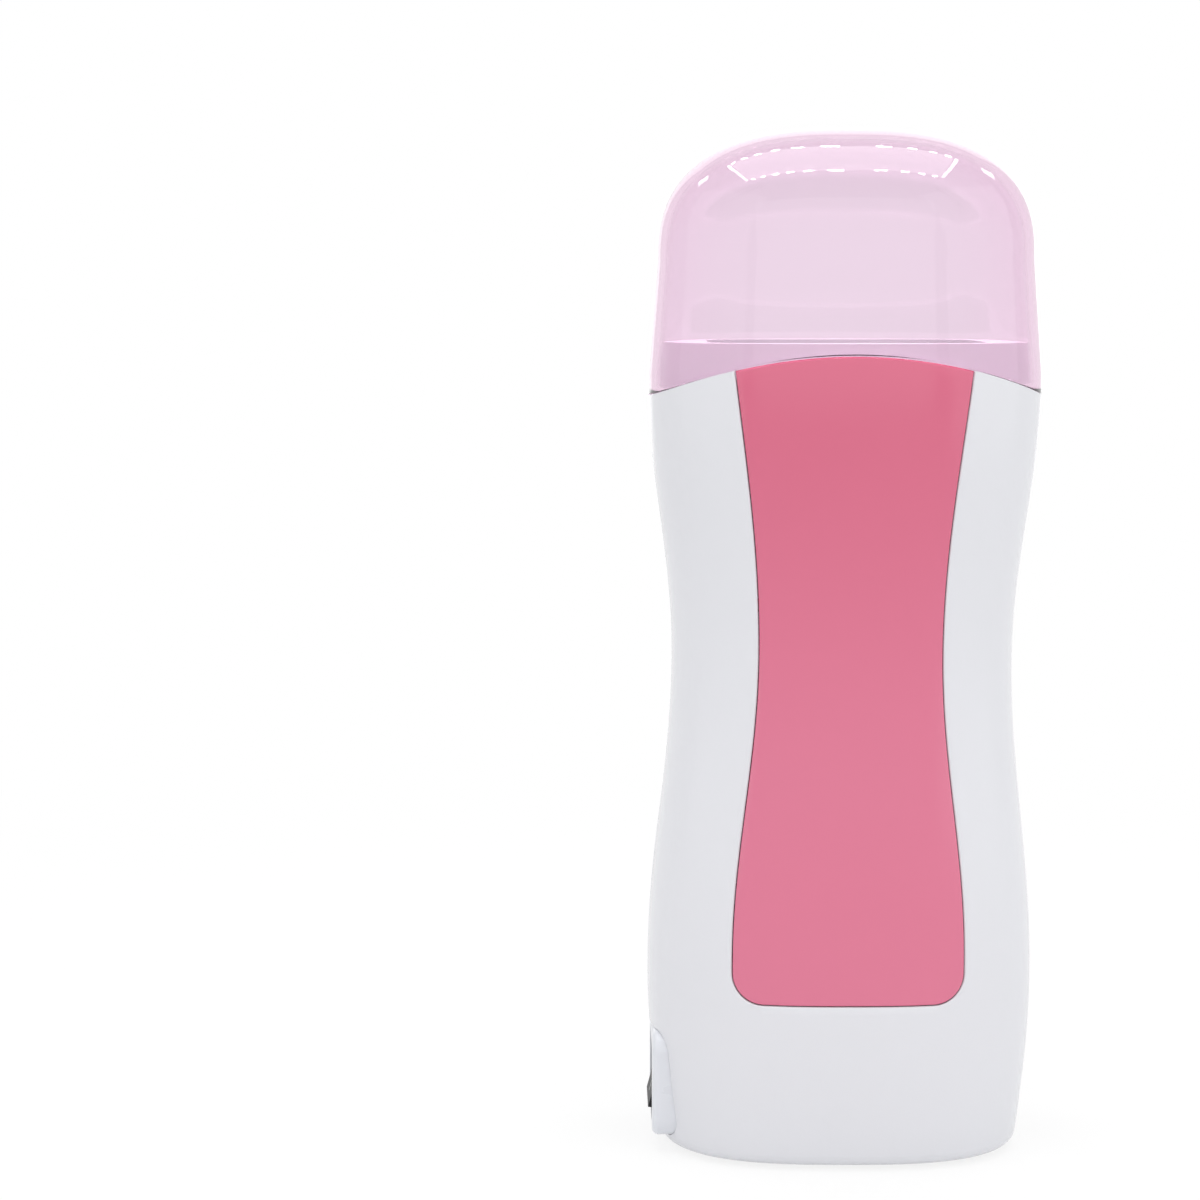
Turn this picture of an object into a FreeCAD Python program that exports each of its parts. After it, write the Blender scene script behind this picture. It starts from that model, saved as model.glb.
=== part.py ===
import FreeCAD, Part
import math
import os
import Sketcher

# Wax heater for one roll-on cartridge: a waisted two-part housing with a well that opens
# upwards under a lift-off cap. Front faces -Y, the switch is on the -X side, the table is Z = 0.

SIZES = {
    # Outer form: half sizes at named heights above the table
    "base_half_width": 36.0,
    "belly_half_width": 38.75,
    "waist_half_width": 34.05,
    "rim_half_width": 39.0,
    "shoulder_half_width": 37.3,
    "base_half_depth": 26.2,
    "belly_half_depth": 28.3,
    "waist_half_depth": 26.0,
    "rim_half_depth": 28.5,
    "shoulder_half_depth": 27.0,
    "belly_height": 35.0,
    "waist_height": 100.0,
    "rim_height": 156.0,
    "shoulder_height": 178.0,
    "dome_rise": 26.0,
    "plan_power": 2.7,
    "dome_power": 2.6,
    "foot_stand": 0.7,
    "base_round": 2.5,
    # Cap and the arched ledge that it stands on
    "arch_top_height": 159.9,
    "arch_radius": 96.8,
    "cap_gap": 0.3,
    "cap_wall": 1.8,
    # Housing halves
    "wall": 2.2,
    "base_floor": 2.2,
    "seam_gap": 0.12,
    "ledge_height": 2.0,
    "ledge_depth": 2.0,
    # Panels and windows, let in flush with the housing
    "inlay_thickness": 1.2,
    "inlay_gap": 0.12,
    "panel_waist_half_width": 17.9,
    "panel_waist_height": 103.0,
    "panel_foot_half_width": 22.8,
    "panel_foot_height": 42.0,
    "panel_flare_half_width": 25.5,
    "panel_flare_height": 193.0,
    "panel_bottom_height": 33.8,
    "panel_corner": 6.0,
    "window_low_height": 41.0,
    "window_high_height": 144.0,
    "window_reach": 7.5,
    "window_lip": 1.3,
    # Cartridge well: floor, heat plates and collar
    "well_half_width": 27.0,
    "well_half_depth": 17.5,
    "well_corner": 9.0,
    "well_floor_height": 56.0,
    "well_floor_thickness": 3.0,
    "well_floor_gap": 0.15,
    "seat_recess": 1.0,
    "lead_slot_half_width": 21.0,
    "lead_slot_depth": 3.0,
    "lead_slot_inset": 0.4,
    "plate_thickness": 1.0,
    "plate_half_gap": 8.0,
    "plate_gap": 0.2,
    "collar_gap": 0.1,
    "collar_wall": 1.8,
    "collar_top_height": 162.2,
    "collar_deck": 2.0,
    "collar_low_height": 147.0,
    "mouth_gap": 0.3,
    "mouth_skirt_wall": 1.2,
    "mouth_skirt_length": 9.0,
    "catch_place": 12.0,
    "catch_half_width": 4.0,
    "catch_height": 154.0,
    "catch_thickness": 2.0,
    "catch_reach": 4.5,
    "catch_gap": 0.2,
    # Heaters, their insulators and clips, one set on each plate
    "heater_half_width": 14.0,
    "heater_rise": 10.0,
    "heater_length": 44.0,
    "heater_thickness": 2.8,
    "heater_edge": 1.2,
    "contact_gap": 0.05,
    "insulator_thickness": 0.4,
    "insulator_margin": 1.0,
    "clip_thickness": 0.5,
    "clip_half_width": 6.0,
    "clip_margin": 1.5,
    "clip_foot": 7.0,
    "rivet_radius": 1.2,
    "rivet_head_radius": 2.2,
    "rivet_head": 0.9,
    "rivet_gap": 0.05,
    "thermostat_width": 8.5,
    "thermostat_length": 17.0,
    "thermostat_thickness": 4.2,
    "thermostat_corner": 1.0,
    "thermostat_rise": 15.0,
    "thermostat_place": -8.0,
    "fuse_radius": 2.0,
    "fuse_length": 11.0,
    "fuse_rise": 20.0,
    "fuse_lead_radius": 0.5,
    "fuse_lead": 3.0,
    # Switch on the -X side
    "switch_height": 12.2,
    "housing_face": 38.0,
    "housing_half_width": 15.8,
    "housing_low_height": 3.2,
    "housing_high_height": 24.6,
    "housing_corner": 4.0,
    "housing_edge": 1.2,
    "housing_back": 27.5,
    "housing_flange": 2.0,
    "housing_flange_margin": 1.8,
    "housing_gap": 0.12,
    "bezel_half_width": 9.0,
    "bezel_half_height": 7.6,
    "bezel_corner": 1.0,
    "bezel_sink": 0.4,
    "bezel_thickness": 1.4,
    "bezel_gap": 0.12,
    "case_half_width": 8.2,
    "case_half_height": 6.8,
    "case_corner": 0.8,
    "case_wall": 0.8,
    "case_depth": 13.0,
    "rocker_half_width": 7.1,
    "rocker_half_height": 5.4,
    "rocker_axis_depth": 2.4,
    "rocker_face": 2.15,
    "rocker_rise": 0.71,
    "rocker_skirt": 0.8,
    "rocker_tilt": 7.5,
    "rocker_nose": 6.0,
    "rocker_nose_half": 0.7,
    "rocker_root_half": 1.6,
    "rocker_root": 1.2,
    "trunnion_radius": 1.0,
    "trunnion_reach": 0.5,
    "trunnion_gap": 0.04,
    "blade_thickness": 0.6,
    "blade_half_width": 2.5,
    "blade_half_height": 5.0,
    "common_gap": 0.2,
    "closing_gap": 0.76,
    "terminal_half_width": 2.4,
    "terminal_thickness": 0.8,
    "terminal_tail": 7.0,
    "terminal_gap": 0.05,
    "closing_place": 4.4,
    # Mains inlet on the +X side
    "inlet_height": 12.5,
    "inlet_face": 36.2,
    "inlet_half_width": 9.6,
    "inlet_half_height": 5.8,
    "inlet_corner": 5.4,
    "inlet_length": 17.0,
    "inlet_flange": 2.0,
    "inlet_flange_margin": 2.0,
    "inlet_flange_depth": 8.0,
    "inlet_gap": 0.12,
    "socket_half_width": 7.9,
    "socket_half_height": 4.2,
    "socket_corner": 4.0,
    "socket_depth": 12.5,
    "pin_radius": 1.2,
    "pin_tail_radius": 0.9,
    "pin_half_spacing": 4.3,
    "pin_sink": 3.0,
    "pin_tail": 5.0,
    # Base cover, feet and fasteners
    "cover_inset": 4.0,
    "cover_gap": 0.15,
    "boss_radius": 3.0,
    "boss_gap": 0.1,
    "boss_height": 11.0,
    "rib_half_thickness": 0.8,
    "base_screw_x": 13.0,
    "base_screw_y": 16.5,
    "base_screw_length": 8.0,
    "screw_radius": 1.3,
    "screw_gap": 0.1,
    "screw_head_radius": 2.5,
    "screw_head": 1.6,
    "screw_head_sink": 0.2,
    "screw_head_gap": 0.3,
    "screw_slot_half": 1.6,
    "screw_slot_width": 0.7,
    "screw_slot_depth": 0.8,
    "foot_x": 24.0,
    "foot_y": 12.5,
    "foot_radius": 3.6,
    "foot_sink": 1.0,
    "foot_gap": 0.1,
    "shell_screw_x": 15.0,
    "shell_screw_drop": 12.5,
    "shell_screw_seat": 8.0,
    "shell_screw_length": 16.0,
    "shell_boss_radius": 3.8,
    # Leads inside the housing
    "lead_radius": 0.9,
    "lead_bend": 5.0,
    "lead_lane": 19.2,
    "lead_lane_depth": 19.95,
    "link_place": 12.5,
    "link_drop": 7.6,
    "riser_place": 9.5,
    "riser_drop": 16.0,
    "riser_rise": 1.5,
    "lane_rise": 6.5,
    "crimp_length": 6.0,
    "crimp_half_width": 2.4,
    "crimp_half_height": 1.5,
    # Working values
    "overrun": 30.0,
    "skim": 2.0,
}
OUTLINE_POINTS = 32
BODY_SECTIONS = 13
SHELF_SECTIONS = 4
ROUND_SECTIONS = 4
DOME_SECTIONS = 8
PANEL_SECTIONS = 8
FOOT_TRIM_SHARE = 0.9
WINDOW_END_SHARE = 0.25
THERMOSTAT_FOOT_SHARE = 0.25
LEAD_ROOM_SHARE = 0.476
LEAD_VOLUME_SHARE = 0.01

doc = FreeCAD.newDocument("wax_heater")
sheet = doc.addObject("Spreadsheet::Sheet", "Sizes")
for row, (alias, number) in enumerate(SIZES.items(), start=1):
    sheet.set("A%d" % row, alias)
    sheet.set("B%d" % row, str(number))
    sheet.setAlias("B%d" % row, alias)
doc.recompute()

nodes = []


class Size:
    """A length with its value and the expression on the sheet that gives it."""

    def __init__(self, text, value):
        self.text = text
        self.value = value

    def __add__(self, other):
        return Size("(%s + %s)" % (self.text, other.text), self.value + other.value)

    def __sub__(self, other):
        return Size("(%s - %s)" % (self.text, other.text), self.value - other.value)

    def __neg__(self):
        return Size("(-%s)" % self.text, -self.value)

    def __mul__(self, factor):
        return Size("(%s * %s)" % (self.text, factor), self.value * factor)

    __rmul__ = __mul__

    def __truediv__(self, divisor):
        return Size("(%s / %s)" % (self.text, divisor), self.value / divisor)


class Named:
    """The sheet's values by name."""


s = Named()
for alias in SIZES:
    setattr(s, alias, Size("Sizes." + alias, float(sheet.get(alias))))
ZERO = Size("0", 0.0)


def node(thing):
    """Keep an object as one of the part's named pieces."""
    nodes.append(thing)
    return thing


def bind(thing, prop, length):
    thing.setExpression(prop, length.text)


def place(thing, x, y, z):
    for axis, length in (("x", x), ("y", y), ("z", z)):
        bind(thing, "Placement.Base." + axis, length)


# Plain solids and their sums and differences


def block(name, low, high):
    """A block between two corners."""
    made = doc.addObject("Part::Box", name)
    for prop, start, end in zip(("Length", "Width", "Height"), low, high):
        bind(made, prop, end - start)
    place(made, *low)
    return made


TURNS = {
    "x": FreeCAD.Rotation(FreeCAD.Vector(0, 1, 0), 90),
    "-x": FreeCAD.Rotation(FreeCAD.Vector(0, 1, 0), -90),
    "y": FreeCAD.Rotation(FreeCAD.Vector(1, 0, 0), -90),
    "-y": FreeCAD.Rotation(FreeCAD.Vector(1, 0, 0), 90),
    "z": FreeCAD.Rotation(),
}
HALF_TURN = FreeCAD.Placement(FreeCAD.Vector(), FreeCAD.Rotation(FreeCAD.Vector(0, 0, 1), 180))


def rod(name, start, along, radius, length):
    """A round rod from the middle of one end."""
    made = doc.addObject("Part::Cylinder", name)
    bind(made, "Radius", radius)
    bind(made, "Height", length)
    made.Placement = FreeCAD.Placement(FreeCAD.Vector(), TURNS[along])
    place(made, *start)
    return made


def cut(name, base, tool):
    made = doc.addObject("Part::Cut", name)
    made.Base = base
    made.Tool = tool
    return made


def fuse(name, things):
    made = doc.addObject("Part::MultiFuse", name)
    made.Shapes = things
    return made


def common(name, things):
    made = doc.addObject("Part::MultiCommon", name)
    made.Shapes = things
    return made


def group(name, things):
    """Separate solids that share one name."""
    made = doc.addObject("Part::Compound", name)
    made.Links = things
    return made


def turned(name, thing):
    """The same piece turned half round the upright axis."""
    made = group(name, [thing])
    made.Placement = HALF_TURN
    return made


def both_sides(name, front_piece):
    """Keep a front piece and its turned copy at the rear."""
    node(front_piece)
    node(turned("rear_" + name, front_piece))


def formed(name, shape):
    """A free form worked out from the sheet."""
    made = doc.addObject("Part::Feature", name)
    made.Shape = shape
    return made


# Sketched bodies


def origin_plane(body, role):
    return next(plane for plane in body.Origin.OriginFeatures if plane.Role == role)


def new_body(name):
    return doc.addObject("PartDesign::Body", name)


def new_sketch(body, name, role, offset=ZERO):
    sketch = body.newObject("Sketcher::SketchObject", body.Name + "_" + name)
    sketch.AttachmentSupport = [(origin_plane(body, role), "")]
    sketch.MapMode = "FlatFace"
    bind(sketch, "AttachmentOffset.Base.z", offset)
    return sketch


def pad(body, sketch, length, reverse=False):
    made = body.newObject("PartDesign::Pad", sketch.Name + "_pad")
    made.Profile = sketch
    bind(made, "Length", length)
    made.Reversed = reverse
    sketch.Visibility = False
    return made


def pocket(body, sketch, length, reverse=False):
    doc.recompute()
    before = body.Shape.Volume
    made = body.newObject("PartDesign::Pocket", sketch.Name + "_pocket")
    made.Profile = sketch
    bind(made, "Length", length)
    made.Reversed = reverse
    doc.recompute()
    if body.Shape.Volume >= before:
        raise RuntimeError(made.Name + " cuts nothing")
    return made


def tie(sketch, kind, first, length):
    """Tie a point of the sketch to the origin by one size."""
    geometry, point = first
    if length is ZERO:
        axis = {"DistanceX": -2, "DistanceY": -1}[kind]
        sketch.addConstraint(Sketcher.Constraint("PointOnObject", geometry, point, axis))
        return
    index = sketch.addConstraint(Sketcher.Constraint(kind, -1, 1, geometry, point, length.value))
    sketch.setExpression("Constraints[%d]" % index, length.text)


def polygon(sketch, corners):
    """A closed outline whose corners are each tied by two sizes."""
    points = [FreeCAD.Vector(x.value, y.value, 0) for x, y in corners]
    first = sketch.GeometryCount
    for start, end in zip(points, points[1:] + points[:1]):
        sketch.addGeometry(Part.LineSegment(start, end), False)
    for i, (x, y) in enumerate(corners):
        following = first + (i + 1) % len(corners)
        sketch.addConstraint(Sketcher.Constraint("Coincident", first + i, 2, following, 1))
        tie(sketch, "DistanceX", (first + i, 1), x)
        tie(sketch, "DistanceY", (first + i, 1), y)


def rectangle(sketch, left, right, low, high):
    polygon(sketch, [(left, low), (right, low), (right, high), (left, high)])


def rounded(sketch, left, right, low, high, corner):
    """A rectangle with four equal round corners."""
    x0, x1, y0, y1, r = (length.value for length in (left, right, low, high, corner))
    lines = [((x0 + r, y0), (x1 - r, y0)), ((x1, y0 + r), (x1, y1 - r)),
             ((x1 - r, y1), (x0 + r, y1)), ((x0, y1 - r), (x0, y0 + r))]
    centres = [(x1 - r, y0 + r), (x1 - r, y1 - r), (x0 + r, y1 - r), (x0 + r, y0 + r)]
    first = sketch.GeometryCount
    for i, (start, end) in enumerate(lines):
        sketch.addGeometry(Part.LineSegment(FreeCAD.Vector(*start, 0), FreeCAD.Vector(*end, 0)), False)
        circle = Part.Circle(FreeCAD.Vector(*centres[i], 0), FreeCAD.Vector(0, 0, 1), r)
        begin = math.radians(90 * i - 90)
        sketch.addGeometry(Part.ArcOfCircle(circle, begin, begin + math.radians(90)), False)
    edges = [first + i for i in range(8)]
    for i in range(8):
        sketch.addConstraint(Sketcher.Constraint("Tangent", edges[i], 2, edges[(i + 1) % 8], 1))
    for i, kind in enumerate(("Horizontal", "Vertical", "Horizontal", "Vertical")):
        sketch.addConstraint(Sketcher.Constraint(kind, edges[2 * i]))
    for i in (3, 5, 7):
        sketch.addConstraint(Sketcher.Constraint("Equal", edges[1], edges[i]))
    index = sketch.addConstraint(Sketcher.Constraint("Radius", edges[1], r))
    sketch.setExpression("Constraints[%d]" % index, corner.text)
    for i, kind, length in ((0, "DistanceY", low), (2, "DistanceX", right),
                            (4, "DistanceY", high), (6, "DistanceX", left)):
        tie(sketch, kind, (edges[i], 1), length)


# The waisted outer form: each level is a superellipse in plan


def swing(low, high, share):
    """A smooth change from one value to another."""
    return low + (high - low) * (1 - math.cos(math.pi * share)) / 2


def half_size(level, kind):
    """Half the width or depth of the closed heater at a height above the table."""
    base, belly, waist, rim, shoulder = (
        getattr(s, "%s_half_%s" % (spot, kind)).value
        for spot in ("base", "belly", "waist", "rim", "shoulder"))
    belly_at, waist_at, rim_at, shoulder_at = (
        getattr(s, spot + "_height").value for spot in ("belly", "waist", "rim", "shoulder"))
    if level <= belly_at:
        return base + (belly - base) * math.sin(math.pi / 2 * level / belly_at)
    if level <= waist_at:
        return swing(belly, waist, (level - belly_at) / (waist_at - belly_at))
    if level <= rim_at:
        return swing(waist, rim, (level - waist_at) / (rim_at - waist_at))
    return rim + (shoulder - rim) * (level - rim_at) / (shoulder_at - rim_at)


def ring(half_width, half_depth, level):
    """Points round a superellipse at a height, from the middle of the rear and back to it."""
    points = []
    for i in range(OUTLINE_POINTS):
        turn = 2 * math.pi * i / OUTLINE_POINTS + math.pi / 2
        across, along = math.cos(turn), math.sin(turn)
        power = s.plan_power.value
        reach = (abs(across) ** power + abs(along) ** power) ** (-1 / power)
        points.append(FreeCAD.Vector(half_width * across * reach, half_depth * along * reach, level))
    return points + points[:1]


def level_ring(level, inset):
    return ring(half_size(level, "width") - inset, half_size(level, "depth") - inset, level)


def skinned(name, rings):
    """A solid with a smooth side through the rings and flat ends."""
    surface = Part.BSplineSurface()
    surface.interpolate(rings)
    side = surface.toShape()
    ends = [Part.Face(Part.Wire(edge)) for edge in side.Edges if edge.BoundBox.ZLength < s.seam_gap.value]
    shell = Part.makeShell([side] + ends)
    shell.sewShape()
    solid = Part.makeSolid(Part.Shell(shell.Faces))
    if solid.Volume < 0:
        solid.reverse()
    return formed(name, solid)


def body_form(name, inset, low, high, count=BODY_SECTIONS):
    """The housing's form between two heights, moved inwards by an inset."""
    levels = [low.value + (high.value - low.value) * i / (count - 1) for i in range(count)]
    return skinned(name, [level_ring(level, inset.value) for level in levels])


def foot_trim():
    """What is taken off round the foot of the housing to leave a round edge."""
    radius = s.base_round.value
    spots = []
    for i in range(ROUND_SECTIONS):
        turn = math.pi / 2 * i / ROUND_SECTIONS
        spots.append((radius * (1 - math.cos(turn)), radius * (1 - math.sin(turn))))
    # The last step runs on in a straight line and out through the wall
    (before_rise, before_inset), (rise, inset) = spots[-2:]
    spots.append((2 * rise - before_rise, 2 * inset - before_inset))
    rings = [level_ring(s.foot_stand.value + rise, inset) for rise, inset in spots]
    foot = skinned("foot_form", rings)
    reach = s.rim_half_width + s.overrun
    slab = block("foot_slab", (-reach, -reach, s.foot_stand - s.skim),
                 (reach, reach, s.foot_stand + s.base_round * FOOT_TRIM_SHARE))
    return cut("foot_trim", slab, foot)


def cap_form(name, inset):
    """The cap's form from below its ledge to its domed top, moved inwards by an inset."""
    low = s.collar_low_height.value
    shoulder = s.shoulder_height.value
    levels = [low, (low + s.rim_height.value) / 2, s.rim_height.value,
              (s.rim_height.value + shoulder) / 2]
    rings = [level_ring(level, inset.value) for level in levels]
    wide = s.shoulder_half_width.value - inset.value
    deep = s.shoulder_half_depth.value - inset.value
    tall = s.dome_rise.value - inset.value
    last = math.radians(90 * DOME_SECTIONS / (DOME_SECTIONS + 1))
    top_share = math.sin(last) ** (2 / s.dome_power.value)
    for i in range(DOME_SECTIONS + 1):
        turn = last * i / DOME_SECTIONS
        narrowing = math.cos(turn) ** (2 / s.dome_power.value)
        rise = math.sin(turn) ** (2 / s.dome_power.value) / top_share
        rings.append(ring(wide * narrowing, deep * narrowing, shoulder + tall * rise))
    return skinned(name, rings)


def plate_prism(name, outline_inset, low, high):
    """An upright prism with the base's plan outline."""
    inset = outline_inset.value
    points = ring(s.base_half_width.value - inset, s.base_half_depth.value - inset, low.value)
    curve = Part.BSplineCurve()
    curve.interpolate(Points=points[:-1], PeriodicFlag=True)
    outline = Part.Face(Part.Wire(curve.toShape()))
    return formed(name, outline.extrude(FreeCAD.Vector(0, 0, high.value - low.value)))


cap_top = s.shoulder_height + s.dome_rise
form_top = s.arch_top_height + s.skim
cavity_low = s.foot_stand + s.base_floor
outer_form = body_form("outer_form", ZERO, s.foot_stand, form_top)
cavity_form = body_form("cavity_form", s.wall, cavity_low, form_top + s.skim)
back_form = body_form("back_form", s.inlay_thickness, s.foot_stand, form_top)
seat_form = body_form("seat_form", s.inlay_thickness + s.inlay_gap, s.foot_stand, form_top)


def above_arch(name, top, radius):
    """Everything above an arch that runs from front to back."""
    reach = s.rim_half_width + s.overrun
    sky = block(name + "_sky", (-reach, -reach, s.waist_height), (reach, reach, cap_top + s.overrun))
    drum = rod(name + "_drum", (ZERO, -reach, top - radius), "y", radius, reach * 2)
    return cut(name, sky, drum)


ledge_arch = above_arch("ledge_arch", s.arch_top_height, s.arch_radius)


# Cap


def make_cap():
    hollow = cut("cap_hollow", cap_form("cap_outer_form", ZERO), cap_form("cap_inner_form", s.cap_wall))
    arch = above_arch("cap_arch", s.arch_top_height + s.cap_gap, s.arch_radius + s.cap_gap)
    return node(common("cap", [hollow, arch]))


# Panels and windows


def panel_half(level):
    """Half the width of the front panel at a height."""
    waist, waist_at = s.panel_waist_half_width.value, s.panel_waist_height.value
    if level >= waist_at:
        share = (level - waist_at) / (s.panel_flare_height.value - waist_at)
        return swing(waist, s.panel_flare_half_width.value, share)
    share = (waist_at - level) / (waist_at - s.panel_foot_height.value)
    return swing(waist, s.panel_foot_half_width.value, min(share, 1))


def panel_prism(name, grow):
    """A prism through the front with the panel's outline, grown all round and past the ledge."""
    margin = grow.value
    bottom = s.panel_bottom_height.value - margin
    corner = s.panel_corner.value + margin
    start = bottom + corner
    end = (form_top + s.skim).value

    def side_point(share, sign):
        level = start + (end - start) * share
        return FreeCAD.Vector(sign * (panel_half(level) + margin), 0, level)

    sides = []
    for sign in (1, -1):
        curve = Part.BSplineCurve()
        curve.interpolate([side_point(i / PANEL_SECTIONS, sign) for i in range(PANEL_SECTIONS + 1)])
        sides.append(curve.toShape())
    foot = panel_half(start) + margin
    bow = corner * (1 - math.sqrt(0.5))

    def corner_arc(sign):
        return Part.Arc(FreeCAD.Vector(sign * foot, 0, start),
                        FreeCAD.Vector(sign * (foot - bow), 0, bottom + bow),
                        FreeCAD.Vector(sign * (foot - corner), 0, bottom)).toShape()

    floor = Part.LineSegment(FreeCAD.Vector(foot - corner, 0, bottom),
                             FreeCAD.Vector(corner - foot, 0, bottom))
    crown = Part.LineSegment(side_point(1, -1), side_point(1, 1))
    outline = Part.Wire(Part.__sortEdges__(
        sides + [corner_arc(1), corner_arc(-1), floor.toShape(), crown.toShape()]))
    reach = s.rim_half_depth.value + s.overrun.value
    return formed(name, Part.Face(outline).extrude(FreeCAD.Vector(0, -reach, 0)))


def window_prism(name, shrink, past_seam):
    """A prism through one side with the window's outline: straight at the seam, bowed outwards."""
    inset = shrink.value
    past = past_seam.value
    low = s.window_low_height.value
    high = s.window_high_height.value
    middle = (low + high) / 2
    reach = s.window_reach.value - inset
    end = inset * (high - low) / s.window_reach.value * WINDOW_END_SHARE
    foot = FreeCAD.Vector(0, 0, low + end)
    head = FreeCAD.Vector(0, 0, high - end)
    bow = Part.Arc(foot, FreeCAD.Vector(0, -reach, middle), head).toShape()
    step = FreeCAD.Vector(0, past, 0)
    beyond = Part.makePolygon([head, head + step, foot + step, foot])
    depth = s.rim_half_width.value + s.overrun.value
    outline = Part.Wire([bow] + beyond.Edges)
    return formed(name, Part.Face(outline).extrude(FreeCAD.Vector(depth, 0, 0)))


def front_space(name):
    """All that lies in front of the seam."""
    reach = s.rim_half_width + s.overrun
    return block(name, (-reach, -reach, -s.overrun), (reach, -s.seam_gap / 2, cap_top))


def make_panels():
    slab = common("panel_slab", [outer_form, panel_prism("panel_prism", ZERO)])
    sheet_form = cut("panel_sheet", slab, back_form)
    both_sides("panel", cut("front_panel", sheet_form, ledge_arch))


def make_windows():
    prism = window_prism("window_prism", s.inlay_gap, s.skim)
    slab = common("window_slab", [outer_form, prism, front_space("window_space")])
    both_sides("window", cut("front_window", slab, back_form))


# Housing halves: one moulding, turned half round for the rear, with openings for the fittings

shell_screw_height = s.well_floor_height - s.shell_screw_drop
catch_root = s.rim_half_depth - s.catch_reach


def hands(x):
    return (("left", -x), ("right", x))


def sign_of(side):
    return {"front": -1, "rear": 1}[side]


def moulding_fittings():
    """Bosses, ribs and the shelf inside one half, trimmed to the wall."""
    things = []
    boss_low = cavity_low + s.boss_gap
    for hand, x in hands(s.base_screw_x):
        foot = (x, -s.base_screw_y, boss_low)
        things.append(rod(hand + "_base_boss", foot, "z", s.boss_radius, s.boss_height))
        things.append(block(hand + "_base_rib", (x - s.rib_half_thickness, -s.rim_half_depth, boss_low),
                            (x + s.rib_half_thickness, -s.base_screw_y, boss_low + s.boss_height)))
    for hand, x in hands(s.shell_screw_x):
        start = (x, -s.seam_gap / 2, shell_screw_height)
        things.append(rod(hand + "_shell_boss", start, "-y", s.shell_boss_radius, s.rim_half_depth))
    shelf_high = s.well_floor_height - s.well_floor_thickness
    shelf_low = shelf_high - s.ledge_height
    shelf = body_form("shelf_form", ZERO, shelf_low, shelf_high, SHELF_SECTIONS)
    hole = body_form("shelf_hole", s.wall + s.ledge_depth, shelf_low - s.skim, shelf_high + s.skim,
                     SHELF_SECTIONS)
    things.append(cut("shelf", shelf, hole))
    return common("fittings", [fuse("fittings_raw", things), seat_form, front_space("fittings_space")])


def moulding_bores():
    """Slots for the collar's catches and holes for the screws."""
    tools = []
    half = s.catch_half_width + s.catch_gap
    for hand, x in hands(s.catch_place):
        tools.append(block(hand + "_catch_slot",
                           (x - half, -(s.rim_half_depth + s.skim), s.catch_height - s.catch_gap),
                           (x + half, -catch_root, s.catch_height + s.catch_thickness + s.catch_gap)))
    hole = s.screw_radius + s.screw_gap
    for hand, x in hands(s.base_screw_x):
        tools.append(rod(hand + "_base_pilot", (x, -s.base_screw_y, s.foot_stand), "z", hole,
                         s.base_screw_length + s.skim))
    # Each half takes the head of one seam screw and the thread of the other
    seat = (-s.shell_screw_x, -s.shell_screw_seat, shell_screw_height)
    tools.append(rod("head_bore", seat, "-y", s.screw_head_radius + s.screw_head_gap, s.overrun))
    tools.append(rod("head_hole", seat, "y", hole, s.shell_screw_seat))
    tools.append(rod("thread_hole", (s.shell_screw_x, ZERO, shell_screw_height), "-y", hole,
                     s.shell_screw_length - s.shell_screw_seat + s.skim))
    return fuse("bores", tools)


def side_notches():
    """Openings across the seam for the switch housing and the inlet."""
    gap = s.housing_gap
    body = new_body("switch_notch")
    sketch = new_sketch(body, "outline", "YZ_Plane", -(s.housing_face + s.overrun))
    rounded(sketch, -(s.housing_half_width + gap), s.housing_half_width + gap, s.housing_low_height - gap,
            s.housing_high_height + gap, s.housing_corner + gap)
    pad(body, sketch, s.housing_face + s.overrun - s.housing_back)
    other = new_body("inlet_notch")
    sketch = new_sketch(other, "outline", "YZ_Plane", s.inlet_face - s.inlet_length)
    rounded(sketch, -(s.inlet_half_width + s.inlet_gap), s.inlet_half_width + s.inlet_gap,
            s.inlet_height - s.inlet_half_height - s.inlet_gap,
            s.inlet_height + s.inlet_half_height + s.inlet_gap, s.inlet_corner + s.inlet_gap)
    pad(other, sketch, s.inlet_length + s.overrun)
    return [body, other]


def make_shells():
    full = cut("housing_full", outer_form, ledge_arch)
    footed = cut("housing_footed", full, foot_trim())
    hollow = cut("housing_hollow", footed, cavity_form)
    half = common("housing_half", [hollow, front_space("half_space")])
    moulding = fuse("housing_filled", [half, moulding_fittings()])
    tools = (
        ("housing_bored", moulding_bores()),
        ("housing_panelled", cut("panel_seat", panel_prism("panel_hole", s.inlay_gap), seat_form)),
        ("housing_rebated", cut("window_seat", window_prism("window_rebate", ZERO, s.skim), seat_form)),
        ("housing_moulding", window_prism("window_hole", s.window_lip, s.skim * 2)),
    )
    for name, tool in tools:
        moulding = cut(name, moulding, tool)
    opening = plate_prism("cover_opening", s.cover_inset, -s.overrun, cavity_low + s.skim)
    notches = fuse("housing_openings", side_notches() + [opening])
    node(cut("front_shell", moulding, notches))
    node(cut("rear_shell", turned("rear_moulding", moulding), notches))


make_cap()
make_shells()
make_panels()
make_windows()


# Collar, well floor and heat plates


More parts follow.
